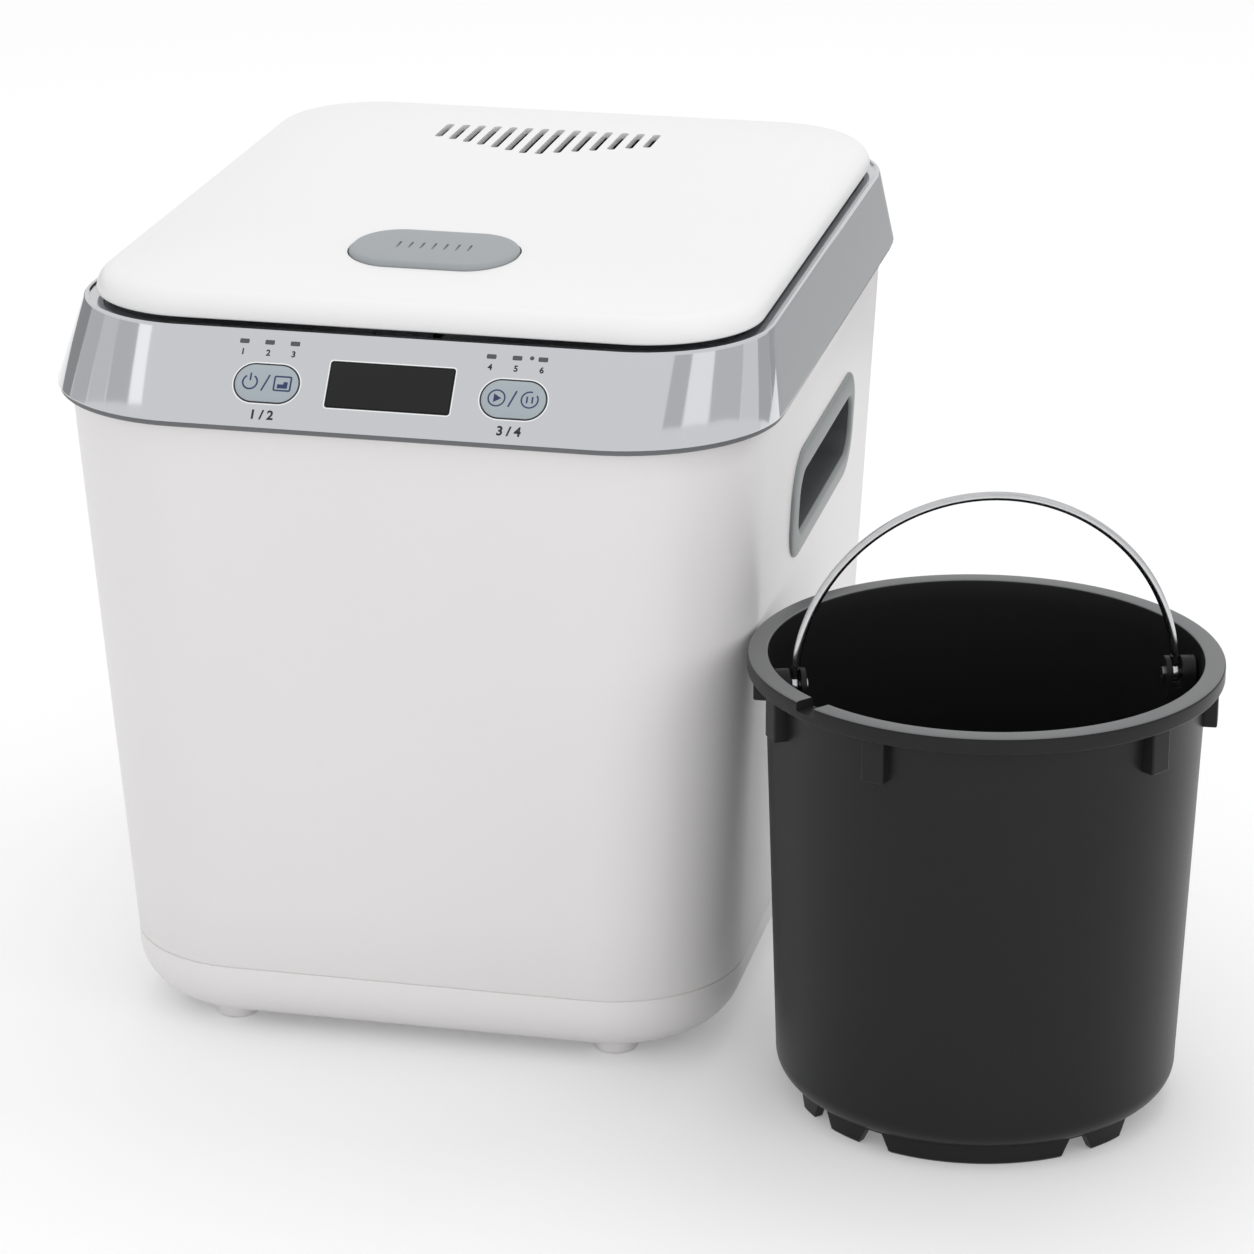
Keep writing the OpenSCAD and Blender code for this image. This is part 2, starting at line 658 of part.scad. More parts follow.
motor_low_z = chassis_z + 0.3;
module motor_body() color(steel) translate([0, motor_y, motor_low_z]) difference() {
    union() {
        cylinder(r = motor_r, h = floor_z - motor_low_z);
        cylinder(r = 8.9, h = floor_z - motor_low_z + 2);
    }
    translate([0, 0, 8]) cylinder(r = motor_shaft_r + run_gap, h = 60);
}
module motor_shaft() color(steel) translate([0, motor_y, motor_low_z + 8.3])
    cylinder(r = motor_shaft_r, h = wheel_z + wheel_t + 1 - motor_low_z - 8.3);
module motor_pinion() color("goldenrod") translate([0, motor_y, wheel_z - 1]) difference() {
    gear(pinion_teeth, fast_module, wheel_t + 1.6, 270 + 180/pinion_teeth);
    translate([0, 0, -1]) cylinder(r = motor_shaft_r + e, h = 12);
}

// ---- air path ----

fan_y = well_y + well_r + well_t + 6;
fan_half = fan_side/2;
bay_y = fan_y + fan_t;
bay_half_h = 30;
bay_back_y = hy - body_in - wall - 1.6;
fan_bore = fan_half - 3;
module air_duct() color([0.35, 0.36, 0.38]) difference() {
    block([-fan_half, well_y + 60, fan_z - fan_half], [fan_half, fan_y, fan_z + fan_half]);
    at_well(fan_z - fan_half - 1) cylinder(r = well_r + well_t + 0.1, h = fan_side + 2, $fn = 96);
    at_well(fan_z) rotate([-90, 0, 0]) cylinder(r = port_r + 2, h = well_r + 40);
}

rotor_shaft_r = 1.5;
module fan_housing() color(dark) difference() {
    union() {
        difference() {
            block([-fan_half, fan_y, fan_z - fan_half], [fan_half, bay_y, fan_z + fan_half]);
            translate([0, fan_y - 1, fan_z]) rotate([-90, 0, 0]) cylinder(r = fan_bore, h = fan_t + 2);
        }
        translate([0, bay_y - 3, fan_z]) rotate([-90, 0, 0]) cylinder(r = 10, h = 2.7);
        for (k = [0:2]) translate([0, bay_y - 2.7, fan_z]) rotate([0, 120*k + 30, 0])
            block([8, 0, -1.5], [fan_bore + 1, 2.1, 1.5]);
    }
    translate([0, fan_y, fan_z]) rotate([-90, 0, 0]) cylinder(r = rotor_shaft_r + run_gap, h = fan_t + 1);
}
blade_count = 7;
module fan_rotor() color([0.15, 0.15, 0.16]) translate([0, fan_y + 1.5, fan_z]) rotate([-90, 0, 0]) {
    cylinder(r = 10, h = fan_t - 4.8);
    cylinder(r = rotor_shaft_r, h = fan_t - 2);
    for (k = [0:blade_count - 1]) rotate(360*k/blade_count) translate([9, 0, (fan_t - 4.8)/2])
        rotate([38, 0, 0]) block([0, -7, -0.7], [fan_bore - 10.5, 7, 0.7]);
}

module filter_bay() color([0.35, 0.36, 0.38]) difference() {
    block([-bay_w/2, bay_y, fan_z - bay_half_h], [bay_w/2, bay_back_y, fan_z + bay_half_h]);
    block([-bay_w/2 + bay_t, bay_y + bay_t, fan_z - bay_half_h + bay_t],
        [bay_w/2 - bay_t, bay_back_y + 1, fan_z + bay_half_h - bay_t]);
    translate([0, bay_y - 1, fan_z]) rotate([-90, 0, 0]) cylinder(r = fan_bore - 1, h = bay_t + 2);
}

tray_half = bay_w/2 - bay_t - tray_gap;
tray_low_z = fan_z - bay_half_h + bay_t + tray_gap;
tray_high_z = fan_z + bay_half_h - bay_t - 3;
tray_front_y = bay_y + bay_t + 1;
plate_y = bay_back_y + 0.5;
plate_out_y = hy - body_in + 0.8;
louvres = 8;
module filter_tray() color(body_white) difference() {
    union() {
        block([-tray_half, tray_front_y, tray_low_z], [tray_half, plate_y + 1, tray_high_z]);
        block([-rear_x, plate_y, fan_z - rear_half_h], [rear_x, plate_out_y, fan_z + rear_half_h]);
        block([-18, plate_out_y - 1, fan_z - rear_half_h + 5], [18, plate_out_y + 4, fan_z - rear_half_h + 8]);
    }
    block([-tray_half + bay_t, tray_front_y + bay_t, tray_low_z + bay_t],
        [tray_half - bay_t, plate_y, tray_high_z + 1]);
    translate([0, tray_front_y - 1, fan_z]) rotate([-90, 0, 0]) cylinder(r = 23, h = bay_t + 2);
    for (k = [0:louvres - 1]) block([-40, plate_y - 1, fan_z - 18 + 5*k], [40, plate_out_y + 1, fan_z - 16 + 5*k]);
}
module filter_cartridge() color([0.2, 0.2, 0.2]) {
    low = [-tray_half + bay_t + 0.5, tray_front_y + bay_t + 0.5, tray_low_z + bay_t];
    high = [tray_half - bay_t - 0.5, plate_y - 0.5, tray_high_z - 1];
    block(low, high);
    for (z = [low.z + 8, high.z - 10]) block([low.x + 6, high.y - 1, z], [high.x - 6, high.y + 0.3, z + 2]);
}

// ---- electrics ----

board_z = chassis_z + board_post_h;
parts_z = board_z + 1;
board_plan = [-97, 70, -35, 150];
transformer = [-91, 80, -59, 112, 27];
relay = [-54, 80, -41, 100, 17];
heat_sink = [-90, 122, -62, 142, 13];
capacitor_at = [[-48, 116], [-48, 130]];
capacitor_r = 6;
capacitor_h = 24;
module power_board() color([0.1, 0.4, 0.2]) {
    block([board_plan[0], board_plan[1], board_z], [board_plan[2], board_plan[3], board_z + board_t]);
    for (b = [transformer, relay, heat_sink]) block([b[0], b[1], parts_z], [b[2], b[3], parts_z + b[4]]);
    for (p = capacitor_at) translate([p.x, p.y, parts_z]) cylinder(r = capacitor_r, h = capacitor_h);
}
inlet_face_y = hy - parting_back_in + 1.6;
module power_inlet() color(dark) difference() {
    union() {
        block([inlet_x - inlet_half.x + 0.3, hy - 36, inlet_z - inlet_half.y + 0.3],
            [inlet_x + inlet_half.x - 0.3, inlet_face_y, inlet_z + inlet_half.y - 0.3]);
        block([inlet_x - inlet_half.x - 5, inlet_face_y - 0.8, inlet_z - inlet_half.y - 2],
            [inlet_x + inlet_half.x + 5, inlet_face_y + 1, inlet_z + inlet_half.y + 2]);
    }
    block([inlet_x - 12, inlet_face_y - 17, inlet_z - 9.5], [inlet_x + 12, inlet_face_y + 2, inlet_z + 9.5]);
}
module inlet_pins() color(steel) for (p = [[-7, -2], [0, 2.5], [7, -2]])
    translate([inlet_x + p.x, inlet_face_y - 17, inlet_z + p.y]) block([-1, 0, -2], [1, 11, 2]);

// ---- latch and hinge ----

switch_x = [20, 33];
switch_h = 9;
module lid_switch() color(dark) {
    block([switch_x[0], slot_front_y - 3, deck_z - switch_h], [switch_x[1], slot_front_y + 4, deck_z]);
    translate([switch_x[0] + 6, slot_front_y, deck_z - switch_h - 1.5]) rotate([0, 90, 0]) cylinder(r = 1.5, h = 4);
}

lid_hx = hx - trim_side_in - lid_side_gap;
lid_front = -hy + trim_front_in + lid_front_gap;
lid_back = hy - trim_back_in - lid_back_gap;
lid_low_z = ring_z + lid_gap;
roll_z = lid_low_z + 0.6;
lid_top_z = roll_z + lid_roll;
knuckle_r = 3;
hinge_y = lid_back + 0.5;
hinge_z = ring_z + knuckle_r + 0.3;
hinge_pin_r = 1.5;
knuckle_x = [27, 40];
module along_x(x, y, z) {
    translate([x, y, z]) rotate([0, 90, 0]) children();
}
foot_back = hy - trim_back_in - bead_w - 0.6;
module hinge_brackets() color(steel) for (side = [0, 1]) mirror([side, 0, 0]) difference() {
    union() {
        along_x(knuckle_x[0], hinge_y, hinge_z) cylinder(r = knuckle_r, h = knuckle_x[1] - knuckle_x[0]);
        block([knuckle_x[0], foot_back - 5.8, flange_z], [knuckle_x[1], foot_back, hinge_z - 1]);
    }
    along_x(knuckle_x[0] - 1, hinge_y, hinge_z) cylinder(r = hinge_pin_r + e, h = 20);
}
module hinge_pin() color(steel) along_x(-knuckle_x[1], hinge_y, hinge_z)
    cylinder(r = hinge_pin_r, h = 2*knuckle_x[1]);

liner_z = lid_low_z + 0.2;
liner_top_z = liner_z + liner_plate_t;
notch_x = knuckle_x[1] + 2;
module hinge_arm() color(steel) difference() {
    union() {
        along_x(-knuckle_x[0] + 0.4, hinge_y, hinge_z) cylinder(r = knuckle_r, h = 2*knuckle_x[0] - 0.8);
        block([-knuckle_x[0] + 0.4, hinge_y - 30, liner_top_z], [knuckle_x[0] - 0.4, hinge_y, liner_top_z + 2.2]);
    }
    along_x(-knuckle_x[1], hinge_y, hinge_z) cylinder(r = hinge_pin_r + run_gap, h = 80);
}

// ---- lid ----

function lid_ring(inset, z) = rr_ring(lid_hx - inset, lid_front + inset, lid_back - inset,
    max(lid_r - inset, 3), z);
function crown(inset) = crown_h*(1 - pow(1 - (inset - lid_roll)/(lid_hx - lid_roll), 4.8));
crown_insets = [for (k = [1:8]) lid_roll + (lid_hx - lid_roll - 12)*k*k/64];
function roll(r) = [for (t = steps(4)) lid_ring(r*(1 - cos(90*t)), roll_z + r*sin(90*t))];
button_slope = tan(3.4);
button_z = lid_top_z + crown(button_y - lid_front);
button_gap = 0.6;
function button_ring(inset, z) = rr_ring(button_w/2 - inset, button_y - button_d/2 + inset,
    button_y + button_d/2 - inset, button_r - inset, z);
module lid_shell() color([0.92, 0.92, 0.93]) difference() {
    ledge = lid_t + 2.2;
    inner_r = lid_roll - lid_t;
    under = [for (k = [len(crown_insets) - 1:-1:0])
        lid_ring(crown_insets[k], lid_top_z + crown(crown_insets[k]) - lid_t)];
    seat = [lid_ring(lid_roll, roll_z + inner_r), lid_ring(ledge + 1, roll_z + inner_r - 1),
        lid_ring(ledge, liner_top_z), lid_ring(lid_t, liner_top_z), lid_ring(lid_t, lid_low_z)];
    top = concat([lid_ring(0, lid_low_z)], roll(lid_roll),
        [for (i = crown_insets) lid_ring(i, lid_top_z + crown(i))]);
    loft(concat(under, seat, top));
    slab(button_ring(-button_gap, 0), liner_top_z, 40);
    for (k = [0:vents - 1]) {
        from_edge = min(k, vents - 1 - k);
        length = vent_long - vent_step*(vents/2 - 1 - from_edge);
        translate([vent_pitch*(k - (vents - 1)/2), vent_back_y - length/2, liner_top_z])
            rotate(90) pill(length, vent_w, 40);
    }
    block([-notch_x, hinge_y - 11, lid_low_z - 1], [notch_x, hinge_y + 5, hinge_z + knuckle_r + 0.7]);
}

hook_x = 11;
hook_t = 2;
hook_y = slot_front_y + 0.4;
hook_reach = 2.6;
hook_travel = button_travel;
module lid_liner() color([0.72, 0.73, 0.74]) difference() {
    slab(lid_ring(lid_t + 0.3, 0), liner_z, liner_plate_t);
    block([-notch_x, hinge_y - 9, liner_z - 1], [notch_x, hinge_y + 5, liner_top_z + 1]);
    block([-hook_x - 1, hook_y + hook_reach - 1, liner_z - 1],
        [hook_x + 1, hook_y + hook_reach + hook_t + hook_travel + 1, liner_top_z + 1]);
    for (x = [-40:20:40]) translate([x, well_y + 62, liner_z - 1]) cylinder(r = 4, h = liner_plate_t + 2);
}
gasket_r = well_r + well_t + well_flange/2;
module lid_gasket() color(dark) at_well(deck_z + deck_t + well_t + 0.3)
    tube(gasket_r + 2.5, gasket_r - 2.5, liner_z - deck_z - deck_t - well_t - 0.3);

spring_h = button_travel + 1.2;
button_top = 1.8;
flange_low = liner_top_z + spring_h;
button_rim = button_gap + 1.4;
flange_high = lid_top_z + crown(button_y - button_d/2 - button_rim - lid_front) - lid_t - 0.3;
module lid_button() color([0.6, 0.62, 0.63]) difference() {
    union() {
        loft([button_ring(0, flange_low),
            tilted(button_ring(0, button_z + button_top - 1.4), button_y, button_slope),
            tilted(button_ring(0.5, button_z + button_top - 0.4), button_y, button_slope),
            tilted(button_ring(1.6, button_z + button_top), button_y, button_slope)]);
        slab(button_ring(-button_rim, 0), flange_low, flange_high - flange_low);
    }
    translate([0, button_y, flange_low - 1]) cylinder(r = 9, h = 3);
}

spring_r = 6.5;
spring_wire = 0.6;
spring_turns = 3;
function coil(k, n) = let (a = 360*spring_turns*k/n) [spring_r*cos(a), spring_r*sin(a),
    spring_wire + (spring_h + 2 - 0.3 - 2*spring_wire)*k/n];
module lid_button_spring() color(steel) translate([0, button_y, liner_top_z]) {
    n = 8*spring_turns;
    rings = [for (k = [0:n]) let (p = coil(k, n), a = 360*spring_turns*k/n)
        [for (j = [0:5]) p + spring_wire*[cos(60*j)*cos(a), cos(60*j)*sin(a), -sin(60*j)]]];
    loft(rings);
}

module latch_hook() color(steel) {
    root_z = liner_top_z + 0.3;
    back = hook_y + hook_reach + hook_t;
    block([-hook_x, hook_y + hook_reach, deck_z - 2.9], [hook_x, back, root_z + 1.2]);
    block([-hook_x, hook_y, deck_z - 2.9], [hook_x, back, deck_z - 0.3]);
    block([-hook_x, back - 1, root_z], [hook_x, back + 10, root_z + 1.2]);
}

// ---- bucket ----

module at_bucket(z = 0) {
    translate([bucket_x, bucket_y, z]) children();
}
floor_in_z = foot_ring_h + pail_t;
bush_r = 8;
rim_in_r = rim_r - 7.8;
pail_high_z = rim_z - rim_h;
rib_turns = [for (side = [0, 180], a = [-75, -37.5, 37.5, 75]) bail_turn - 90 + side + a];
foot_turn = -81;
foot_gaps = [[30, 36], [53, 127], [144, 150], [210, 216], [233, 290.5], [302, 307], [324, 330]];
foot_slant = 4;
module bucket_shell() color(dark) at_bucket() difference() {
    union() {
        rotate_extrude($fn = 96) polygon(concat(
            [[bush_r, foot_ring_h]],
            [for (t = steps(5)) [pail_bottom_r - pail_round*(1 - sin(90*t)),
                foot_ring_h + pail_round*(1 - cos(90*t))]],
            [[pail_top_r, pail_high_z], [rim_r - 0.5, pail_high_z], [rim_r, pail_high_z + 0.5],
                [rim_r, rim_z - 0.7], [rim_r - 0.7, rim_z], [rim_in_r, rim_z],
                [rim_in_r - 0.9, rim_z - 1.6], [pail_top_r - pail_t, pail_high_z]],
            [for (t = steps(5)) [pail_bottom_r - pail_t - (pail_round - pail_t)*(1 - cos(90*t)),
                foot_ring_h + pail_round - (pail_round - pail_t)*sin(90*t)]],
            [[bush_r, floor_in_z]]));
        difference() {
            tube(foot_ring_r, foot_ring_r - 4, floor_in_z);
            for (g = foot_gaps) rotate(foot_turn + (g[0] + g[1])/2) translate([foot_ring_r - 35, 0, 0])
                let (w = (foot_ring_r - 2)*sin((g[1] - g[0])/2))
                rotate([90, 0, 90]) linear_extrude(45) polygon([[-w - foot_slant, -1], [w + foot_slant, -1],
                    [w, foot_ring_h], [-w, foot_ring_h]]);
        }
        for (a = rib_turns) rotate(a)
            block([pail_top_r - 1.6, -4.5, rim_z - 23], [rim_r - 2, 4.5, pail_high_z + 1]);
    }
    rotate(bail_turn - 147) block([rim_in_r - 4, -4.7, rim_z - 3.5], [rim_r + 2, 4.7, rim_z + 1]);
}

ear_r = 6.5;
ear_in = bail_r - 4;
ear_wall_r = pail_top_r - pail_t - 1.1;
slot_r = wire_r + 0.4;
rivet_r = 1.45;
module at_ears() {
    at_bucket(bail_z) for (side = [0, 180]) rotate(bail_turn + side) children();
}
module ear() difference() {
    intersection() {
        union() {
            rotate([0, 90, 0]) translate([0, 0, ear_in]) cylinder(r = ear_r, h = 20);
            block([ear_in, -ear_r, -8], [ear_in + 20, ear_r, 0]);
        }
        translate([0, 0, -20]) cylinder(r = ear_wall_r, h = 40, $fn = 96);
    }
    block([bail_r - slot_r, -20, -4], [bail_r + slot_r, 20, 20]);
    rotate([0, 90, 0]) cylinder(r = rivet_r + e, h = 90);
}
module bail_ears() color(dark) at_ears() ear();
module ear_rivets() color(steel) at_ears() rotate([0, 90, 0]) translate([0, 0, ear_in - 0.9]) {
    cylinder(r = rivet_r, h = ear_wall_r - ear_in + 0.6);
    cylinder(r = 2.4, h = 0.9);
}
module bail_wire() color(silver) difference() {
    union() {
        at_bucket(bail_z) rotate(bail_turn) rotate([90, 0, 0])
            rotate_extrude(angle = 180, $fn = 96) translate([bail_r, 0]) circle(r = wire_r, $fn = 24);
        at_ears() rotate([0, 90, 0]) translate([0, 0, bail_r - wire_r]) cylinder(r = 3.3, h = 2*wire_r);
    }
    at_ears() rotate([0, 90, 0]) cylinder(r = rivet_r + run_gap, h = 90);
}

// ---- agitator ----

bush_low_z = foot_ring_h;
module shaft_bush() color([0.8, 0.78, 0.7]) at_bucket(bush_low_z) difference() {
    union() {
        cylinder(r = bush_r - e, h = 5);
        translate([0, 0, pail_t]) cylinder(r = bush_r + 3, h = 1.5);
    }
    translate([0, 0, -1]) cylinder(r = shaft_r + run_gap, h = 8);
}
link_t = 1.6;
link_z = bush_low_z - link_t - 0.3;
module bucket_coupling() color(dark) at_bucket(link_z) difference() {
    union() {
        cylinder(r = 14, h = link_t);
        translate([0, 0, -1.9]) rotate(180/dog_count) dogs(9, 13.4, 2.5);
    }
    translate([0, 0, -1]) cylinder(r = shaft_r + e, h = link_t + 2);
}
hub_z = bush_low_z + 5.3;
hub_h = 36;
module agitator_shaft() color(steel) at_bucket(link_z)
    cylinder(r = shaft_r, h = hub_z + hub_h - 1 - link_z);
arm_l = 66;
arm_h = 9;
arm_t = 8;
module arm(length, turn) rotate(turn) linear_extrude(arm_h) difference() {
    intersection() {
        translate([length/2, -length/3]) circle(r = length*0.6);
        circle(r = length);
        translate([0, 0]) square([length, length]);
    }
    translate([length/2, -length/3 - arm_t]) circle(r = length*0.6);
}
module agitator() color([0.35, 0.35, 0.36]) at_bucket(hub_z) difference() {
    union() {
        cylinder(r = 15, h = arm_h);
        translate([0, 0, arm_h - e]) cylinder(r1 = 13, r2 = 9, h = hub_h - arm_h + e);
        for (turn = [0, 180]) arm(arm_l, turn);
        for (turn = [90, 270]) translate([0, 0, hub_h - arm_h - 6]) arm(0.75*arm_l, turn);
    }
    translate([0, 0, -1]) cylinder(r = shaft_r + e, h = hub_h);
}

body_shell();
base_cover();
foot_pads();
base_screws();
chassis_plate();
frame_posts();
trim_ring();
trim_strip();
top_deck();
display_window();
display_module();
indicator_lenses();
indicator_dot();
panel_board();
panel_switches();
power_button();
enter_button();
handle_cups();
chamber_liner();
heater_plate();
temperature_sensor();
gearbox_housing();
gearbox_cover();
shaft_bearings();
shaft_seal();
drive_shaft();
output_gear();
drive_coupling();
intermediate_shaft();
intermediate_gear();
motor_body();
motor_shaft();
motor_pinion();
air_duct();
fan_housing();
fan_rotor();
filter_bay();
filter_tray();
filter_cartridge();
power_board();
power_inlet();
inlet_pins();
lid_switch();
hinge_brackets();
hinge_pin();
lid_shell();
lid_liner();
lid_gasket();
lid_button();
lid_button_spring();
latch_hook();
hinge_arm();
bucket_shell();
bail_ears();
ear_rivets();
bail_wire();
shaft_bush();
agitator();
agitator_shaft();
bucket_coupling();
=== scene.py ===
# %% [markdown]
# # Electric food waste composter
#
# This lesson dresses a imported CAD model: a white table-top composter and, beside it, the black
# bucket that lifts out of it. The CAD gives every size and every moving piece. Blender adds what
# the eye wants: fine corners, soft edges, printed marks, and finishes made of shader nodes.

# %% Load the CAD model
import json

import bmesh
import bpy
import numpy as np
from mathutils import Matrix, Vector


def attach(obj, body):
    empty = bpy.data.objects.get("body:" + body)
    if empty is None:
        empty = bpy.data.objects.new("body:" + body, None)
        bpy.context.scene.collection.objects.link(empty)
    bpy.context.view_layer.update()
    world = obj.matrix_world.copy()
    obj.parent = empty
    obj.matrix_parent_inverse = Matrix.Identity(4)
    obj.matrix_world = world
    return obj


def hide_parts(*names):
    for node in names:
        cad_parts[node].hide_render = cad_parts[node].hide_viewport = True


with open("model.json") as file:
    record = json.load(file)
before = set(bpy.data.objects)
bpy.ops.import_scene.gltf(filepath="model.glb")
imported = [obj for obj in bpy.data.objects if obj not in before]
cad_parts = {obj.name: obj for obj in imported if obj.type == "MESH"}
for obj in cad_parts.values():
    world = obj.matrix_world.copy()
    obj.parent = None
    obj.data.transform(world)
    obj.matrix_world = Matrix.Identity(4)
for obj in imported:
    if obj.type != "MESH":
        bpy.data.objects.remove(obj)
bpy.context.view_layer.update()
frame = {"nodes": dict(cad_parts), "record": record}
nodes = frame["nodes"]

# %% [markdown]
# The camera comes first. It stands in front, a little to the right, and looks down by 20 degrees
# with a long lens, so that upright edges stay nearly parallel, as in a catalogue picture.

# %% Camera
MM = 0.001
camera_data = bpy.data.cameras.new("camera")
camera_data.sensor_width = 36.0
camera_data.lens = 129.19
camera = bpy.data.objects.new("camera", camera_data)
bpy.context.scene.collection.objects.link(camera)
camera.location = Vector((428.88, -1688.03, 756.27)) * MM
look = Vector((-0.20422, 0.91723, -0.34202))
camera.rotation_euler = look.to_track_quat("-Z", "Y").to_euler()
bpy.context.scene.camera = camera
print("camera", tuple(round(v, 3) for v in camera.location), "lens", camera_data.lens)

# %% [markdown]
# ## Surfaces from formulas
#
# Almost every piece of the casing is a stack of rounded outlines. One could model it by hand with
# loops and bevels. A formula is better here: the CAD uses the same one, so both fit, and the
# number of points on a corner is one value. All lengths below are in millimetres.

# %% Rounded outlines
CORNER = 20


def ring(half_x, front, back, radius, z, side=1):
    """One outline, counter-clockwise seen from above. Each corner is its centre plus radius times
    (cos a, sin a) over a quarter turn. Each straight side is cut into `side` equal parts."""
    quarter = np.radians(np.linspace(0, 90, CORNER + 1))
    turns = quarter[None, :] + np.radians([0, 90, 180, 270])[:, None]
    centre_x = (half_x - radius) * np.array([1, -1, -1, 1])[:, None]
    centre_y = np.array([back - radius, back - radius, front + radius, front + radius])[:, None]
    corners = np.stack([centre_x + radius * np.cos(turns), centre_y + radius * np.sin(turns)], -1)
    start, end = corners[:, -1:], np.roll(corners[:, :1], -1, axis=0)
    share = np.linspace(0, 1, side + 1)[1:-1][None, :, None]
    flat = np.concatenate([corners, start + (end - start) * share], axis=1).reshape(-1, 2)
    return np.column_stack([flat, np.full(len(flat), float(z))])


def mix(a, b, t):
    """The value at share t of the way from a to b."""
    return a + (b - a) * t


print("points on one outline:", len(ring(10, -10, 10, 3, 0)))


# %% Skins over a grid of points
def grid_faces(rows, columns, close_rows):
    """Quads between neighbours of a grid. The columns always close on themselves, and the rows
    close when close_rows is true. Rows that climb give faces that look outwards."""
    steps = np.arange(rows if close_rows else rows - 1)
    j, i = np.meshgrid(steps, np.arange(columns), indexing="ij")
    up, side = (j + 1) % rows, (i + 1) % columns
    corners = [j * columns + i, j * columns + side, up * columns + side, up * columns + i]
    return np.stack(corners, -1).reshape(-1, 4)


def skin(rings, closed=False):
    """Points and faces of a solid through a list of outlines, with flat ends unless closed."""
    grid = np.stack(rings)
    rows, columns = grid.shape[:2]
    faces = grid_faces(rows, columns, closed).tolist()
    if not closed:
        faces.append(list(range(columns))[::-1])
        faces.append([(rows - 1) * columns + i for i in range(columns)])
    return grid.reshape(-1, 3), faces


def merge(*parts):
    """Several skins as one list of points and one list of faces."""
    points, faces, start = [], [], 0
    for p, f in parts:
        points.append(p)
        faces += [[start + i for i in face] for face in f]
        start += len(p)
    return np.vstack(points), faces


print("faces of a small skin:", len(skin([ring(5, -5, 5, 1, 0), ring(5, -5, 5, 1, 4)])[1]))


# %% From points to a Blender object
def shade(mesh, angle):
    """Smooth everywhere, but for edges that turn by more than `angle` degrees."""
    mesh.polygons.foreach_set("use_smooth", np.ones(len(mesh.polygons), dtype=bool))
    mesh.set_sharp_from_angle(angle=np.radians(angle))


def piece(name, part, angle=30):
    """A mesh object from points in millimetres and faces."""
    points, faces = part
    mesh = bpy.data.meshes.new(name)
    mesh.from_pydata((np.asarray(points) * MM).tolist(), [], faces)
    mesh.validate()
    shade(mesh, angle)
    made = bpy.data.objects.new(name, mesh)
    bpy.context.scene.collection.objects.link(made)
    return made


def settle(made, angle=30):
    """Puts the result of the modifiers into the mesh itself."""
    bpy.context.view_layer.update()
    graph = bpy.context.evaluated_depsgraph_get()
    mesh = bpy.data.meshes.new_from_object(made.evaluated_get(graph), depsgraph=graph)
    made.modifiers.clear()
    made.data = mesh
    mesh.name = made.name
    if angle:
        shade(mesh, angle)


def cut(made, part, angle=30):
    """Takes the solid `part` away from a piece with a Boolean modifier."""
    tool = piece("cutter", part)
    modifier = made.modifiers.new("cut", "BOOLEAN")
    modifier.operation, modifier.solver, modifier.object = "DIFFERENCE", "EXACT", tool
    settle(made, angle)
    bpy.data.objects.remove(tool)


print("piece, settle and cut are ready")


# %% Edges that catch the light
SHARP = 35


def soft_edges(made, width):
    """A narrow bevel on every edge that turns by more than SHARP degrees. Weighted normals keep
    the flat faces flat beside it."""
    bevel = made.modifiers.new("bevel", "BEVEL")
    bevel.width, bevel.segments, bevel.limit_method = width * MM, 2, "ANGLE"
    bevel.angle_limit = np.radians(SHARP)
    weighted = made.modifiers.new("weighted", "WEIGHTED_NORMAL")
    weighted.weight, weighted.keep_sharp = 100, False
    made.data.polygons.foreach_set("use_smooth", np.ones(len(made.data.polygons), dtype=bool))
    settle(made, None)


def softened(node, width):
    """A copy of a CAD node with its loose triangles merged and its edges bevelled."""
    mesh = nodes[node].data.copy()
    work = bmesh.new()
    work.from_mesh(mesh)
    bmesh.ops.remove_doubles(work, verts=work.verts, dist=1e-6)
    bmesh.ops.dissolve_limit(work, angle_limit=np.radians(1), verts=work.verts, edges=work.edges)
    work.to_mesh(mesh)
    work.free()
    made = bpy.data.objects.new(node + "_soft", mesh)
    bpy.context.scene.collection.objects.link(made)
    soft_edges(made, width)
    print(made.name, len(made.data.polygons), "faces")
    return made


bodies = frame["record"]["behaviour"]["bodies"]
node_body = {member: body for body, members in bodies.items() for member in members}


def stand_for(made, node):
    """Hides one CAD node, and lets the piece ride where that node rides."""
    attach(made, node_body[node])
    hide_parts(node)


# %% [markdown]
# ## The body
#
# The body is a tall tub that widens upwards. It is moulded in satin white plastic. A cove leads
# its top edge out to the trim. Its walls are straight lines between two outlines, so few rings
# are enough, and only the cove needs a close row of them.

# %% Sizes of the casing
HALF_X, HALF_Y = 140.0, 181.5
TRIM_Z, RING_Z, STRIP_Z = 261.0, 291.0, 259.0
PARTING_Z, COVE_Z = 30.4, 246.0
WALL, COVE = 2.5, 2.5
LOW_SIDE, LOW_FRONT, LOW_BACK, LOW_R = 17.7, 26.6, 9.0, 51.0
HIGH_ALL, HIGH_R = 6.3, 55.0


def body_ring(z, more=0.0):
    """The body's outline at height z. Below the cove each side moves out in a straight line. In
    the cove it moves out by COVE times the square of the share climbed. `more` moves it inwards."""
    t = min(1.0, (z - PARTING_Z) / (COVE_Z - PARTING_Z))
    u = max(0.0, (z - COVE_Z) / (STRIP_Z - COVE_Z))
    out = COVE * u * u - more
    front, back = mix(LOW_FRONT, HIGH_ALL, t) - out, mix(LOW_BACK, HIGH_ALL, t) - out
    return ring(HALF_X - mix(LOW_SIDE, HIGH_ALL, t) + out, front - HALF_Y, HALF_Y - back,
                mix(LOW_R, HIGH_R, t) + out, z)


print("body width at the parting line:", round(np.ptp(body_ring(PARTING_Z)[:, 0]), 1))

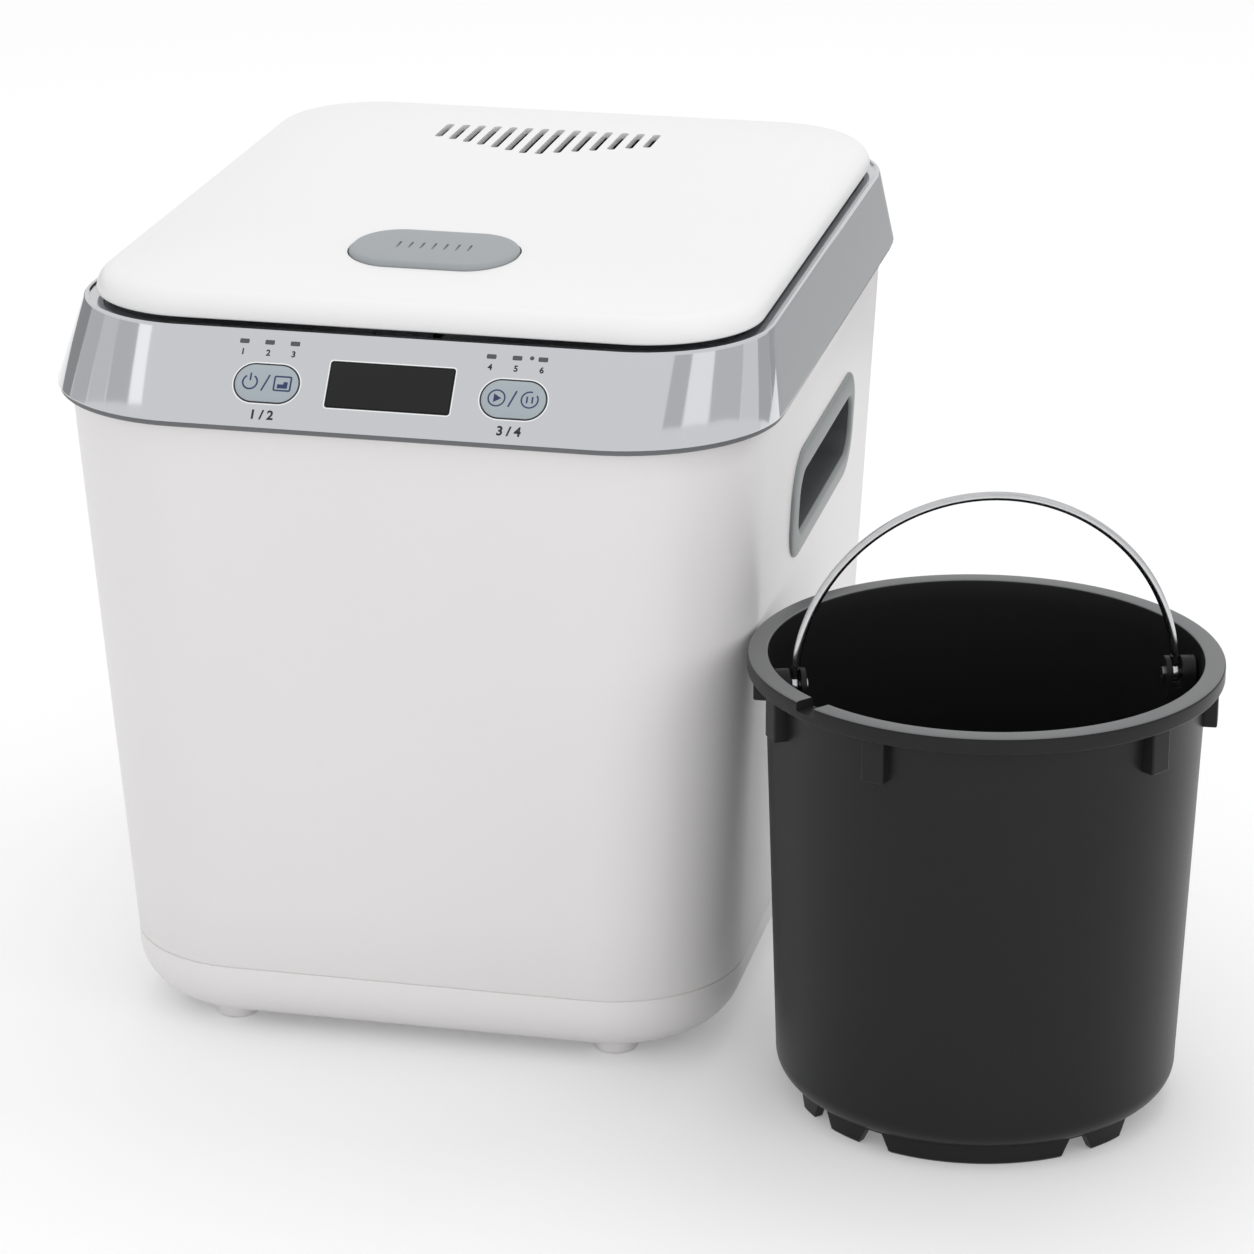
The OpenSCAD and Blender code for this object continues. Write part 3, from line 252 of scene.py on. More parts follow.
# %% Frames on the slope and on the walls
SLOPE_RUN, SLOPE_RISE = 24.6, 30.0
SLOPE = float(np.hypot(SLOPE_RUN, SLOPE_RISE))


def on_panel(part, x, s):
    """Puts a part on the control face. Its points are given as across, up the slope, and out of
    it, from a place x across and s up the slope."""
    points, faces = part
    a, b, c = np.asarray(points, float).T
    run, rise = SLOPE_RUN / SLOPE, SLOPE_RISE / SLOPE
    y, z = -HALF_Y + (s + b) * run - c * rise, TRIM_Z + (s + b) * rise + c * run
    return np.column_stack([x + a, y, z]), faces


HANDLE_Y, HANDLE_Z = 8.0, 200.5
LEAN = np.arctan2(LOW_SIDE - HIGH_ALL, COVE_Z - PARTING_Z)


def on_wall(part, side):
    """Puts a part on a side wall. Its points are given as along the machine, up the wall, and out
    of it. The left one is a mirror image, so its faces are turned to look outwards again."""
    points, faces = part
    a, b, c = np.asarray(points, float).T
    wall_x = HALF_X - mix(LOW_SIDE, HIGH_ALL, (HANDLE_Z - PARTING_Z) / (COVE_Z - PARTING_Z))
    x = wall_x + b * np.sin(LEAN) + c * np.cos(LEAN)
    z = HANDLE_Z + b * np.cos(LEAN) - c * np.sin(LEAN)
    faces = faces if side > 0 else [face[::-1] for face in faces]
    return np.column_stack([side * x, HANDLE_Y + a, z]), faces


print("slope", round(SLOPE, 2), "mm, wall leans", round(float(np.degrees(LEAN)), 2), "degrees")


# %% Body shell
def prism(outline, low, high):
    """A solid between two levels over one flat outline, given counter-clockwise."""
    flat = np.asarray(outline, float)[:, :2]
    return skin([np.column_stack([flat, np.full(len(flat), float(z))]) for z in (low, high)])


def box(low, high):
    """A plain block between two corners."""
    (x0, y0, z0), (x1, y1, z1) = low, high
    return prism([(x0, y0), (x1, y0), (x1, y1), (x0, y1)], z0, z1)


rolled = ((0, 0.7), (0.35, 0.7), (0.6, 0.12))
outer = [body_ring(PARTING_Z + rise, more) for rise, more in rolled]
outer += [body_ring(z) for z in np.linspace(PARTING_Z + 0.9, COVE_Z, 8)]
outer += [body_ring(z) for z in np.linspace(COVE_Z, STRIP_Z, 12)[1:]]
inner = [body_ring(z, WALL) for z in (STRIP_Z, COVE_Z + 7.8, COVE_Z, PARTING_Z)]
body_skin = piece("body_skin", skin(outer + inner, closed=True))
cup_hole = prism(ring(65.5, -20.5, 20.5, 16, 0), -WALL - 3, 3)
tray_hole = box((-58.5, 156, 179.5), (58.5, 187, 244.5))
inlet_hole = box((62, 156, 52), (90, 187, 76))
cut(body_skin, merge(on_wall(cup_hole, 1), on_wall(cup_hole, -1), tray_hole, inlet_hole))
stand_for(body_skin, "body_shell")
print("body shell", len(body_skin.data.polygons), "faces")

# %% [markdown]
# ## The base cover, the strip and the feet
#
# Under a thin parting line the base cover rolls in to a flat underside. The roll is a quarter of
# a circle, so its rings are spaced by equal angles. A dark strip hides the joint under the trim.

# %% Base cover
BASE_ROUND, BASE_Z = 22.0, 5.0


def base_ring(inset, z):
    """The outline at the parting line, moved in by inset."""
    return ring(HALF_X - LOW_SIDE - inset, -HALF_Y + LOW_FRONT + inset, HALF_Y - LOW_BACK - inset,
                LOW_R - inset, z)


quarter = np.radians(np.linspace(0, 90, 13))
outer = [base_ring(BASE_ROUND * (1 - np.sin(a)), BASE_Z + BASE_ROUND * (1 - np.cos(a)))
         for a in quarter]
edge = [base_ring(0, PARTING_Z - 0.3), base_ring(0.3, PARTING_Z), base_ring(WALL, PARTING_Z)]
bowl = BASE_ROUND - WALL
inner = [base_ring(WALL + bowl * (1 - np.cos(a)), BASE_Z + BASE_ROUND - bowl * np.sin(a))
         for a in quarter]
base_skin = piece("base_skin", skin(outer + edge + inner))
stand_for(base_skin, "base_cover")
print("base cover", len(base_skin.data.polygons), "faces")


# %% Turned pieces
def turned(profile, x=0.0, y=0.0, steps=96):
    """A profile of radius and height carried round an upright axis: the point at angle a is
    (r cos a, r sin a, h). A profile that runs up its outside gives faces that look outwards."""
    r, h = np.asarray(profile, float).T
    a = np.linspace(0, 2 * np.pi, steps, endpoint=False)
    return [np.column_stack([x + ri * np.cos(a), y + ri * np.sin(a), np.full(steps, hi)])
            for ri, hi in zip(r, h)]


foot = [(5.5, 0.0), (7.6, 0.15), (8.4, 0.6), (8.8, 1.4), (8.8, 5.95), (8.2, 6.0)]
FEET = [(-77, -128), (-77, 145.6), (77, -128), (77, 145.6)]
foot_skins = piece("foot_skins", merge(*[skin(turned(foot, x, y, 48)) for x, y in FEET]))
stand_for(foot_skins, "foot_pads")
print("feet", len(foot_skins.data.polygons), "faces")

# %% [markdown]
# ## The trim ring
#
# The silver ring is the most telling piece. Its face slopes back, and slopes most at the front,
# where the controls are. At the top it turns over a fine raised line into a flat channel, in
# which the lid sits. The corners are cones whose radius shrinks from 60.7 to 50 mm.

# %% Trim ring
SIDE_RUN, BACK_RUN, TRIM_R, TOP_R = 6.6, 10.0, 60.7, 50.0
DECK_Z = 286.8


def trim_ring(t, more, z):
    """The trim's outline at share t of its height, moved in by `more`."""
    return ring(HALF_X - t * SIDE_RUN - more, -HALF_Y + t * SLOPE_RUN + more,
                HALF_Y - t * BACK_RUN - more, mix(TRIM_R, TOP_R, t) - more, z)


def plate(width, height, radius, more=0.0, z=0.0):
    """The outline of a small plate, `more` larger on every side."""
    return ring(width / 2 + more, -height / 2 - more, height / 2 + more, radius, z)


def pill(width, height):
    """A rounded bar's outline: a plate whose radius is half its height."""
    return plate(width, height, height / 2 - 0.001)


PANEL_X, PANEL_DEPTH = 2.0, 6.9
KEY_W, KEY_H = 24.1, 14.5
KEYS = [(PANEL_X - 46.7, 17.8), (PANEL_X + 46.7, 17.8)]
WINDOW_W, WINDOW_H, WINDOW = 46.3, 17.5, (PANEL_X, 19.2)
LENS_W, LENS_H = 3.4, 1.6
LENSES = [(0.8 + side * 46.95 + k * 9.7, 34.2) for side in (-1, 1) for k in (-1, 0, 1)]
DOT = (PANEL_X + 51.2, 34.5)
# Each outline of the ring is given as its share of the height, its inset and its level.
FACE = [(0, 0.55, TRIM_Z), (0.004, 0.16, TRIM_Z + 0.16), (0.02, 0, TRIM_Z + 0.6),
        (0.97, 0, RING_Z - 0.9), (0.99, 0.12, RING_Z - 0.3), (1, 0.5, RING_Z)]
CHANNEL = [(1, 1.2, RING_Z), (1, 1.5, RING_Z - 0.2), (1, 1.9, RING_Z - 1.2), (1, 8, RING_Z - 1.2),
           (1, 8, DECK_Z), (0.86, 2.8, DECK_Z), (0, 2.8, TRIM_Z)]
trim_skin = piece("trim_skin", skin([trim_ring(*row) for row in FACE + CHANNEL], closed=True))
print("trim ring before the cuts", len(trim_skin.data.polygons), "faces")

# %% Holes in the trim, and the strip under it
holes = [(pill(KEY_W + 0.4, KEY_H + 0.4), at) for at in KEYS]
holes += [(plate(WINDOW_W, WINDOW_H, 0.9, 0.2), WINDOW)]
holes += [(plate(LENS_W, LENS_H, 0.45, 0.1), at) for at in LENSES]
holes += [(plate(1.6, 1.6, 0.79), DOT)]
cut(trim_skin, merge(*[on_panel(prism(outline, -PANEL_DEPTH, 4.0), *at) for outline, at in holes]))
stand_for(trim_skin, "trim_ring")
STRIP = [(1, STRIP_Z + 0.3), (1, TRIM_Z), (6.3, TRIM_Z), (6.3, STRIP_Z), (1.3, STRIP_Z)]
strip_skin = piece("strip_skin", skin([trim_ring(0, inset, z) for inset, z in STRIP], closed=True))
stand_for(strip_skin, "trim_strip")
print("trim ring", len(trim_skin.data.polygons), "faces")

# %% [markdown]
# ## The lid
#
# The lid is a shallow cushion shape: a rolled edge of 9 mm and then a crown that climbs fast at
# first and is nearly flat in the middle. The outlines inside the roll get rounder corners than
# the edge has, so that no crease runs from the corners to the middle. The vent slots are cut a
# little wider and longer than in the CAD, as the real ones look.

# %% Lid
LID_X, LID_FRONT, LID_BACK, LID_R = 129.0, -150.6, 168.0, 44.4
LID_LOW, ROLL_Z, ROLL = 292.2, 292.8, 9.0
LID_TOP = ROLL_Z + ROLL
CROWN, MIDDLE_R = 7.2, 6.0
BUTTON_Y, BUTTON_W, BUTTON_D, BUTTON_R = -96.5, 65.0, 40.0, 18.5


def crown(inset):
    """Height above the rolled edge: CROWN times one minus the 4.8th power of the share still to go
    to the middle."""
    return CROWN * (1 - (1 - (inset - ROLL) / (LID_X - ROLL)) ** 4.8)


def lid_ring(inset, z):
    """The lid's outline moved in by inset. Past the roll the corner radius shrinks slowly."""
    share = max(0.0, (inset - ROLL) / (LID_X - ROLL))
    radius = LID_R - inset if inset <= ROLL else mix(LID_R - ROLL, MIDDLE_R, share)
    return ring(LID_X - inset, LID_FRONT + inset, LID_BACK - inset, radius, z, 24)


insets = ROLL + (LID_X - ROLL - 9) * np.linspace(0, 1, 30)[1:] ** 1.6
under = [lid_ring(i, LID_TOP + crown(i) - 2.4) for i in insets[::-3]]
SEAT = [(9, 299.4), (5.6, 298.4), (4.6, 294.8), (2.4, 294.8), (2.4, LID_LOW)]
seat = [lid_ring(i, z) for i, z in SEAT]
roll = [lid_ring(ROLL * (1 - np.cos(a)), ROLL_Z + ROLL * np.sin(a))
        for a in np.radians(np.linspace(0, 90, 15))]
top = [lid_ring(0.35, LID_LOW), lid_ring(0, LID_LOW + 0.4)] + roll
top += [lid_ring(i, LID_TOP + crown(i)) for i in insets]
lid_skin = piece("lid_skin", skin(under + seat + top), 40)
print("lid before the cuts", len(lid_skin.data.polygons), "faces")


# %% Slots, button hole and hinge notch
VENTS, VENT_PITCH, VENT_HALF, VENT_END = 14, 6.8, 1.65, 98.8
VENT_LONGEST, VENT_STEP = 43.5, 3.4
SHELL_LOW, ABOVE = 294.8, 330.0


def vent(k):
    """One slot: a rounded bar that ends at VENT_END. The two in the middle are longest, and each
    further one is shorter by VENT_STEP."""
    length = VENT_LONGEST - VENT_STEP * (VENTS / 2 - 1 - min(k, VENTS - 1 - k))
    outline = ring(VENT_HALF, VENT_END - length, VENT_END, VENT_HALF - 0.001, 0)
    return prism(outline + [VENT_PITCH * (k - (VENTS - 1) / 2), 0, 0], SHELL_LOW, ABOVE)


def button_ring(inset, z):
    """The lid button's outline, moved in by inset."""
    half = BUTTON_D / 2 - inset
    return ring(BUTTON_W / 2 - inset, BUTTON_Y - half, BUTTON_Y + half, BUTTON_R - inset, z, 4)


button_hole = prism(button_ring(-0.6, 0), SHELL_LOW, ABOVE)
hinge_notch = box((-42, 157.5, 291), (42, 173.5, 298))
cut(lid_skin, merge(button_hole, hinge_notch), None)
cut(lid_skin, merge(*[vent(k) for k in range(VENTS)]), 40)
stand_for(lid_skin, "lid_shell")
print("lid", len(lid_skin.data.polygons), "faces")

# %% Lid button
BUTTON_Z = LID_TOP + crown(BUTTON_Y - LID_FRONT)
BUTTON_ROLL, LEDGE_Z = 2.0, 299.2
GROOVE_PITCH, GROOVE_HALF, GROOVE_FLOOR = 4.6, 3.5, 1.25
TILT = np.tan(np.radians(3.4))


def tilted(points):
    """Raises each point with its distance behind the button's middle."""
    lifted = points.copy()
    lifted[:, 2] += (points[:, 1] - BUTTON_Y) * TILT
    return lifted


def button_top(inset):
    """Past its rolled edge the face still climbs a little, and ever less."""
    return BUTTON_Z + 1.65 + 0.15 * (1 - np.exp(-(inset - BUTTON_ROLL) / 4))


def groove(k):
    """One grip groove: a rounded bar whose floor lies GROOVE_FLOOR above the lid."""
    outline = ring(0.45, BUTTON_Y - GROOVE_HALF, BUTTON_Y + GROOVE_HALF, 0.44, 0)
    return prism(outline + [GROOVE_PITCH * k, 0, 0], BUTTON_Z + GROOVE_FLOOR, BUTTON_Z + 6)


edge = [(BUTTON_ROLL * (1 - np.cos(a)), BUTTON_Z - 0.35 + BUTTON_ROLL * np.sin(a))
        for a in np.radians(np.linspace(0, 90, 9))]
edge += [(i, button_top(i)) for i in (4, 7, 10, 13, 16, 17.8)]
ledge = [(2.0, LEDGE_Z), (-2.0, LEDGE_Z), (-2.0, LEDGE_Z + 2.0), (0, LEDGE_Z + 2.0)]
rings = [button_ring(*row) for row in ledge] + [tilted(button_ring(*row)) for row in edge]
lid_button_skin = piece("lid_button_skin", skin(rings), 40)
cut(lid_button_skin, merge(*[groove(k) for k in range(-3, 4)]), 40)
print("lid button", len(lid_button_skin.data.polygons), "faces")
stand_for(lid_button_skin, "lid_button")

# %% [markdown]
# ## Handle cups
#
# Each side wall holds a grey cup to lift the machine by. Seen from outside it is a rounded bezel
# and a pocket with steep walls. It is one skin through a row of outlines, which climbs the cup's
# back, crosses the bezel, and goes down again into the pocket. The pocket gets a darker grey:
# painted shade for the shadow inside the recess.

# %% Handle cups
# Each outline is given as half its length, half its height, its radius and its depth.
BACK = [(60, 14.5, 11, -22), (60, 14.5, 11, -6), (63.5, 19, 15, -2.5), (65, 20, 15.5, 0)]
BEZEL = [(68, 22.5, 18, 0.02), (68, 22.5, 18, 0.5), (67.8, 22.3, 17.8, 0.85),
         (67.3, 21.8, 17.3, 1.2), (66.3, 20.8, 16.3, 1.5), (64.5, 19, 14.8, 1.75),
         (62, 16.5, 12.5, 1.95), (60, 14.5, 11, 2.0), (59.2, 13.7, 10.2, 1.9),
         (58.6, 13.1, 9.6, 1.6), (58.15, 12.65, 9.15, 1.0)]
POCKET = [(58, 12.5, 9, 0.4), (57.8, 12.3, 8.8, -4), (57.2, 11.7, 8.2, -17.5),
          (56.6, 11.1, 7.8, -19.2), (55.2, 9.7, 6.8, -20)]
cup = skin([ring(a, -b, b, r, z) for a, b, r, z in BACK + BEZEL + POCKET])
handle_skins = piece("handle_skins", merge(on_wall(cup, 1), on_wall(cup, -1)), 35)
# These are the pocket's faces. They get a darker grey, which is painted shade in the recess.
across = 4 * (CORNER + 1)
back_face = len(cup[1]) - 2
number = np.arange(len(handle_skins.data.polygons)) % len(cup[1])
pocket = (number >= len(BACK + BEZEL) * across) & (number != back_face)
stand_for(handle_skins, "handle_cups")
print("handle cups", len(handle_skins.data.polygons), "faces")

# %% [markdown]
# ## Control panel
#
# The two push buttons are pills of tinted plastic with a soft dome. The window is a dark pane.
# Printed figures are thin plates, three hundredths of a millimetre thick, and so are the lines
# round
# the holes. These lines are painted light: a dark line that hugs each hole is painted shade, and a
# white line just outside it is a painted highlight. A picture could carry them, but plates stay
# sharp at any size, and they move with what they lie on.


# %% Push buttons and window
def key(x, s):
    """A pill with a dome. It stays below 0.8 mm by 0.62 times the 2.4th power of the share that
    is still to go to its flat middle."""
    flange = pill(KEY_W + 2.4, KEY_H + 2.4)
    rims = [flange + [0, 0, -4.0], flange + [0, 0, -2.6], pill(KEY_W, KEY_H) + [0, 0, -2.5]]
    for inset in (0, 0.08, 0.3, 0.7, 1.2, 1.9, 2.7, 3.4):
        rise = 0.8 - 0.62 * (1 - inset / 3.4) ** 2.4
        rims.append(pill(KEY_W - 2 * inset, KEY_H - 2 * inset) + [0, 0, rise])
    return on_panel(skin(rims), x, s)


power_key = piece("power_key", key(*KEYS[0]), 50)
enter_key = piece("enter_key", key(*KEYS[1]), 50)
stand_for(power_key, "power_button")
stand_for(enter_key, "enter_button")

PANE = [(0, -2.1), (0, 0.02), (0.05, 0.11), (0.16, 0.15)]
pane = skin([plate(WINDOW_W, WINDOW_H, 0.8 - i, -i, z) for i, z in PANE])
window_skin = piece("window_skin", on_panel(pane, *WINDOW))
stand_for(window_skin, "display_window")
LENS = [(0, -PANEL_DEPTH), (0, 0.02), (0.12, 0.15)]
lens = skin([plate(LENS_W, LENS_H, 0.4 - i, -i, z) for i, z in LENS])
lens_skins = piece("lens_skins", merge(*[on_panel(lens, *at) for at in LENSES]))
stand_for(lens_skins, "indicator_lenses")
print("panel pieces", power_key.name, enter_key.name, window_skin.name, lens_skins.name)


# %% Printed lines, and the lines of painted shade and highlight round the holes
INK = 0.03


def unit(vectors):
    """Vectors of the same directions and of length 1."""
    return vectors / np.linalg.norm(vectors, axis=-1, keepdims=True)


def stroke(path, width, level, closed=False):
    """A thin plate along a path: at each point the path's left-hand normal is the mean of those
    of the two pieces beside it, and the plate reaches half its width to either side."""
    path = np.asarray(path, float)
    ahead = np.roll(path, -1, axis=0) - path
    if not closed:
        ahead[-1] = ahead[-2]
    behind = np.roll(ahead, 1, axis=0)
    if not closed:
        behind[0] = ahead[0]
    way = unit(unit(ahead) + unit(behind))
    left = np.column_stack([-way[:, 1], way[:, 0]]) * width / 2
    corners = [(left, level), (-left, level), (-left, level + INK), (left, level + INK)]
    grid = np.stack([np.column_stack([path + side, np.full(len(path), z)])
                     for side, z in corners], axis=1)
    faces = grid_faces(len(path), 4, closed).tolist()
    if not closed:
        faces += [[3, 2, 1, 0], [4 * (len(path) - 1) + i for i in range(4)]]
    return grid.reshape(-1, 3), [face[::-1] for face in faces] if closed else faces


def arc(x, y, r, start, end, steps=24):
    """Points on a circle between two angles in degrees."""
    a = np.radians(np.linspace(start, end, steps))
    return np.column_stack([x + r * np.cos(a), y + r * np.sin(a)])


def frame_line(outline, width, level):
    """A closed printed line round an outline."""
    return stroke(np.asarray(outline)[:, :2][::-1], width, level, closed=True)


def panel_lines(name, key_more, key_line, window_more, window_radius, window_line):
    """Lines round both push buttons and the window, which are painted light: a dark one is painted
    shade along a hole's edge, and a white one is a painted highlight. key_more is added to a
    button's width and height, and window_more to each side of the window."""
    round_key = frame_line(pill(KEY_W + key_more, KEY_H + key_more), key_line, 0)
    outline = plate(WINDOW_W, WINDOW_H, window_radius, window_more)
    lines = [on_panel(round_key, *at) for at in KEYS]
    lines.append(on_panel(frame_line(outline, window_line, 0), *WINDOW))
    return piece(name, merge(*lines))


# Painted highlight: white lines a little way out from each hole.
painted_highlight_lines = panel_lines("painted_highlight_lines", 1.8, 0.4, 0.8, 1.3, 0.4)
# Painted shade: dark lines that hug the edge of each hole.
painted_shade_lines = panel_lines("painted_shade_lines", 0.85, 0.42, 0.37, 1.0, 0.36)
print("lines", len(painted_highlight_lines.data.polygons) + len(painted_shade_lines.data.polygons), "faces")

# %% Symbols on the push buttons
TOP, BOLD, FINE, SIGN_X = 0.8, 0.62, 0.55, 6.2
slash = [(-1.5, -3.2), (1.0, 3.2)]
step = [(4.3, -1.9), (8.2, -1.9), (8.2, 0.7), (6.6, 0.7), (6.6, -0.3), (4.3, -0.3)]
triangle = [(-7.3, -1.7), (-4.4, 0), (-7.3, 1.7)]
power_signs = [stroke(arc(-SIGN_X, 0, 2.75, 122, 418), BOLD, TOP),
               stroke([(-SIGN_X, 0.6), (-SIGN_X, 3.6)], BOLD, TOP),
               stroke(slash, BOLD, TOP),
               frame_line(plate(6.2, 5.5, 0.5) + [SIGN_X, 0, 0], BOLD, TOP),
               prism(step, TOP, TOP + INK)]
enter_signs = [frame_line(arc(-SIGN_X, 0, 3.1, 0, 350, 36), FINE, TOP),
               prism(triangle, TOP, TOP + INK),
               stroke(slash, BOLD, TOP),
               stroke(arc(SIGN_X, 0, 3.1, 75, 395, 36), FINE, TOP)]
enter_signs += [stroke([(x, -1.3), (x, 1.3)], 0.6, TOP) for x in (SIGN_X - 1, SIGN_X + 1)]
power_symbol = piece("power_symbol", on_panel(merge(*power_signs), *KEYS[0]))
enter_symbol = piece("enter_symbol", on_panel(merge(*enter_signs), *KEYS[1]))
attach(power_symbol, node_body["power_button"])
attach(enter_symbol, node_body["enter_button"])
for marks in (painted_highlight_lines, painted_shade_lines):
    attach(marks, node_body["trim_ring"])
print("symbols", power_symbol.name, enter_symbol.name)


# %% Figures
BOLDER = 0.1


def figure(text, x, s, height):
    """A figure from Blender's own font as a thin plate, centred on its place. Its strokes are
    made a little bolder, in step with its height."""
    curve = bpy.data.curves.new("figure", "FONT")
    curve.body, curve.size, curve.align_x, curve.align_y = text, height, "CENTER", "CENTER"
    curve.extrude, curve.offset, curve.resolution_u = INK / 2, BOLDER * height / 3, 4
    made = bpy.data.objects.new("figure", curve)
    bpy.context.scene.collection.objects.link(made)
    bpy.context.view_layer.update()
    graph = bpy.context.evaluated_depsgraph_get()
    mesh = bpy.data.meshes.new_from_object(made.evaluated_get(graph))
    points = np.empty(3 * len(mesh.vertices))
    mesh.vertices.foreach_get("co", points)
    faces = [list(p.vertices) for p in mesh.polygons]
    bpy.data.objects.remove(made)
    bpy.data.curves.remove(curve)
    bpy.data.meshes.remove(mesh)
    return on_panel((points.reshape(-1, 3) + [0, 0, INK / 2], faces), x, s)


SMALL_S, SMALL, LARGE_S, LARGE = 29.9, 3.3, 5.2, 5.0
captions = [figure(text, x, SMALL_S, SMALL) for text, (x, s) in zip("123456", LENSES)]
captions += [figure(text, x, LARGE_S, LARGE) for text, (x, s) in zip(("1 / 2", "3 / 4"), KEYS)]
figures = piece("figures", merge(*captions))
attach(figures, node_body["trim_ring"])
print("figures", len(figures.data.polygons), "faces")

# %% [markdown]
# ## The bucket
#
# The bucket is turned: one profile carried round its axis. Only the foot ring, the ribs under the
# rim and the notch in the rim break the round. The profile runs up the outside, over the rim and
# down the inside, so the wall has its real thickness.

# %% Bucket wall
BUCKET_X, BUCKET_Y, BAIL_TURN = 218.6, -131.0, 18.0
RIM_Z = 176.5


def straight(start, end):
    """Eight points along a straight stretch of the profile, as radius and height."""
    return np.linspace(start, end, 8)


PAIL_FLOOR, PAIL_WALL = 7.0, 2.0
WALL_LOW, WALL_HIGH = np.array([76.1, 18.0]), np.array([81.8, 168.6])
INWARDS = np.array([-PAIL_WALL, 0])
profile = np.vstack([
    [(8.0, PAIL_FLOOR), (62.0, PAIL_FLOOR)], arc(66.1, 17.0, 10.0, -88, -2, 12),
    straight(WALL_LOW, WALL_HIGH)[:-1],
    arc(83.0, 168.8, 1.2, 180, 90, 5), arc(87.6, 170.9, 0.9, -90, 0, 5),
    arc(87.3, RIM_Z - 1.2, 1.2, 0, 90, 7), arc(81.6, RIM_Z - 0.9, 0.9, 90, 180, 7),
    [(80.4, 174.0), (79.9, 170.0)],
    straight(WALL_HIGH + INWARDS, WALL_LOW + INWARDS),
    arc(66.1, 17.0, 10.0 - PAIL_WALL, -2, -88, 12),
    [(62.0, PAIL_FLOOR + PAIL_WALL), (8.0, PAIL_FLOOR + PAIL_WALL)]])
wall = skin(turned(profile, BUCKET_X, BUCKET_Y, 192), closed=True)
pail_skin = piece("pail_skin", wall, 40)
print("bucket wall before the notch", len(pail_skin.data.polygons), "faces")


# %% Notch in the rim
def round_bucket(part, turn):
    """A part built along the X axis, turned about the bucket's axis and put in its place."""
    points, faces = part
    a = np.radians(turn)
    x = points[:, 0] * np.cos(a) - points[:, 1] * np.sin(a) + BUCKET_X
    y = points[:, 0] * np.sin(a) + points[:, 1] * np.cos(a) + BUCKET_Y
    return np.column_stack([x, y, points[:, 2]]), faces


notch = box((76.7, -4.7, 173.0), (92, 4.7, 180))
cut(pail_skin, round_bucket(notch, BAIL_TURN - 147), 40)
print("bucket wall", len(pail_skin.data.polygons), "faces")

# %% Ribs and foot ring
rib_turns = [BAIL_TURN - 90 + side + a for side in (0, 180) for a in (-75, -37.5, 37.5, 75)]
rib = box((80.2, -4.5, 153.5), (86.4, 4.5, 170.6))
ribs = piece("pail_ribs", merge(*[round_bucket(rib, a) for a in rib_turns]))
soft_edges(ribs, 0.7)
FOOT_TURN, FOOT_IN = -81, 67.5
FOOT_GAPS = [(30, 36), (53, 127), (144, 150), (210, 216), (233, 290.5), (302, 307), (324, 330)]


def foot_gap(start, end):
    """A wedge to cut from the foot ring. Seen from outside its gap is wider at the floor."""
    w = FOOT_IN * np.sin(np.radians((end - start) / 2))
    outline = [(-w - 4, -1), (w + 4, -1), (w, PAIL_FLOOR), (-w, PAIL_FLOOR)]
    points, faces = prism(outline, 34.5, 79.5)
    return round_bucket((points[:, [2, 0, 1]], faces), FOOT_TURN + (start + end) / 2)


ring_profile = [(65.5, 8.5), (65.5, 0.4), (65.9, 0.0), (68.7, 0.0), (69.5, 0.8), (69.5, 8.5)]
foot_parts = piece("pail_foot", skin(turned(ring_profile, BUCKET_X, BUCKET_Y, 192), closed=True))
cut(foot_parts, merge(*[foot_gap(a, b) for a, b in FOOT_GAPS]))
for part in (ribs, foot_parts):
    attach(part, node_body["bucket_shell"])
# The rim's top faces are found by height. They get a lighter grey, which is a painted sheen where
# they face the light.
middles = np.empty(3 * len(pail_skin.data.polygons))
pail_skin.data.polygons.foreach_get("center", middles)
on_rim = middles.reshape(-1, 3)[:, 2] > (RIM_Z - 0.35) * MM
stand_for(pail_skin, "bucket_shell")
print("ribs at", rib_turns)

# %% [markdown]
# The bail is a bent wire: a round section carried along half a circle. Its ends are flattened
# into eyes, through which the rivets pass. The eyes' edges are rounded, as stamping leaves them.

# %% Bail
BAIL_R, WIRE_R, BAIL_Z, EYE_R, EYE_BORE = 71.5, 1.65, 166.0, 3.3, 1.52


def bail_bow():
    """The wire's section: its centre runs over half a circle of radius R in an upright plane, and
    a point at angle b lies at R + r cos b along that radius and r sin b across the plane."""
    a = np.linspace(0, np.pi, 120)[:, None]
    b = np.linspace(0, 2 * np.pi, 20, endpoint=False)[None, :]
    out = BAIL_R + WIRE_R * np.cos(b)
    points = np.stack([out * np.cos(a), -WIRE_R * np.sin(b) + 0 * a, BAIL_Z + out * np.sin(a)], -1)
    return skin(list(points))


def bail_eye(side):
    """A ring round the pivot: a rounded square section turned about the bail's axis."""
    section = [(EYE_BORE, -1.3), (EYE_BORE, 1.3), (EYE_BORE + 0.3, WIRE_R), (EYE_R - 0.6, WIRE_R),
               (EYE_R - 0.2, WIRE_R - 0.25), (EYE_R, WIRE_R - 0.7), (EYE_R, 0.7 - WIRE_R),
               (EYE_R - 0.2, 0.25 - WIRE_R), (EYE_R - 0.6, -WIRE_R), (EYE_BORE + 0.3, -WIRE_R)]
    a = np.linspace(0, 2 * np.pi, 48, endpoint=False)
    rings = []
    for r, u in section:
        x = np.full(48, side * (BAIL_R + u))
        rings.append(np.column_stack([x, r * np.cos(a), BAIL_Z + r * np.sin(a)]))
    return skin(rings[::-1] if side > 0 else rings, closed=True)


bail = merge(bail_bow(), bail_eye(1), bail_eye(-1))
bail_skin = piece("bail_skin", round_bucket(bail, BAIL_TURN), 50)
work = bmesh.new()
work.from_mesh(bail_skin.data)
bmesh.ops.recalc_face_normals(work, faces=work.faces)
work.to_mesh(bail_skin.data)
work.free()
stand_for(bail_skin, "bail_wire")
print("bail", len(bail_skin.data.polygons), "faces")

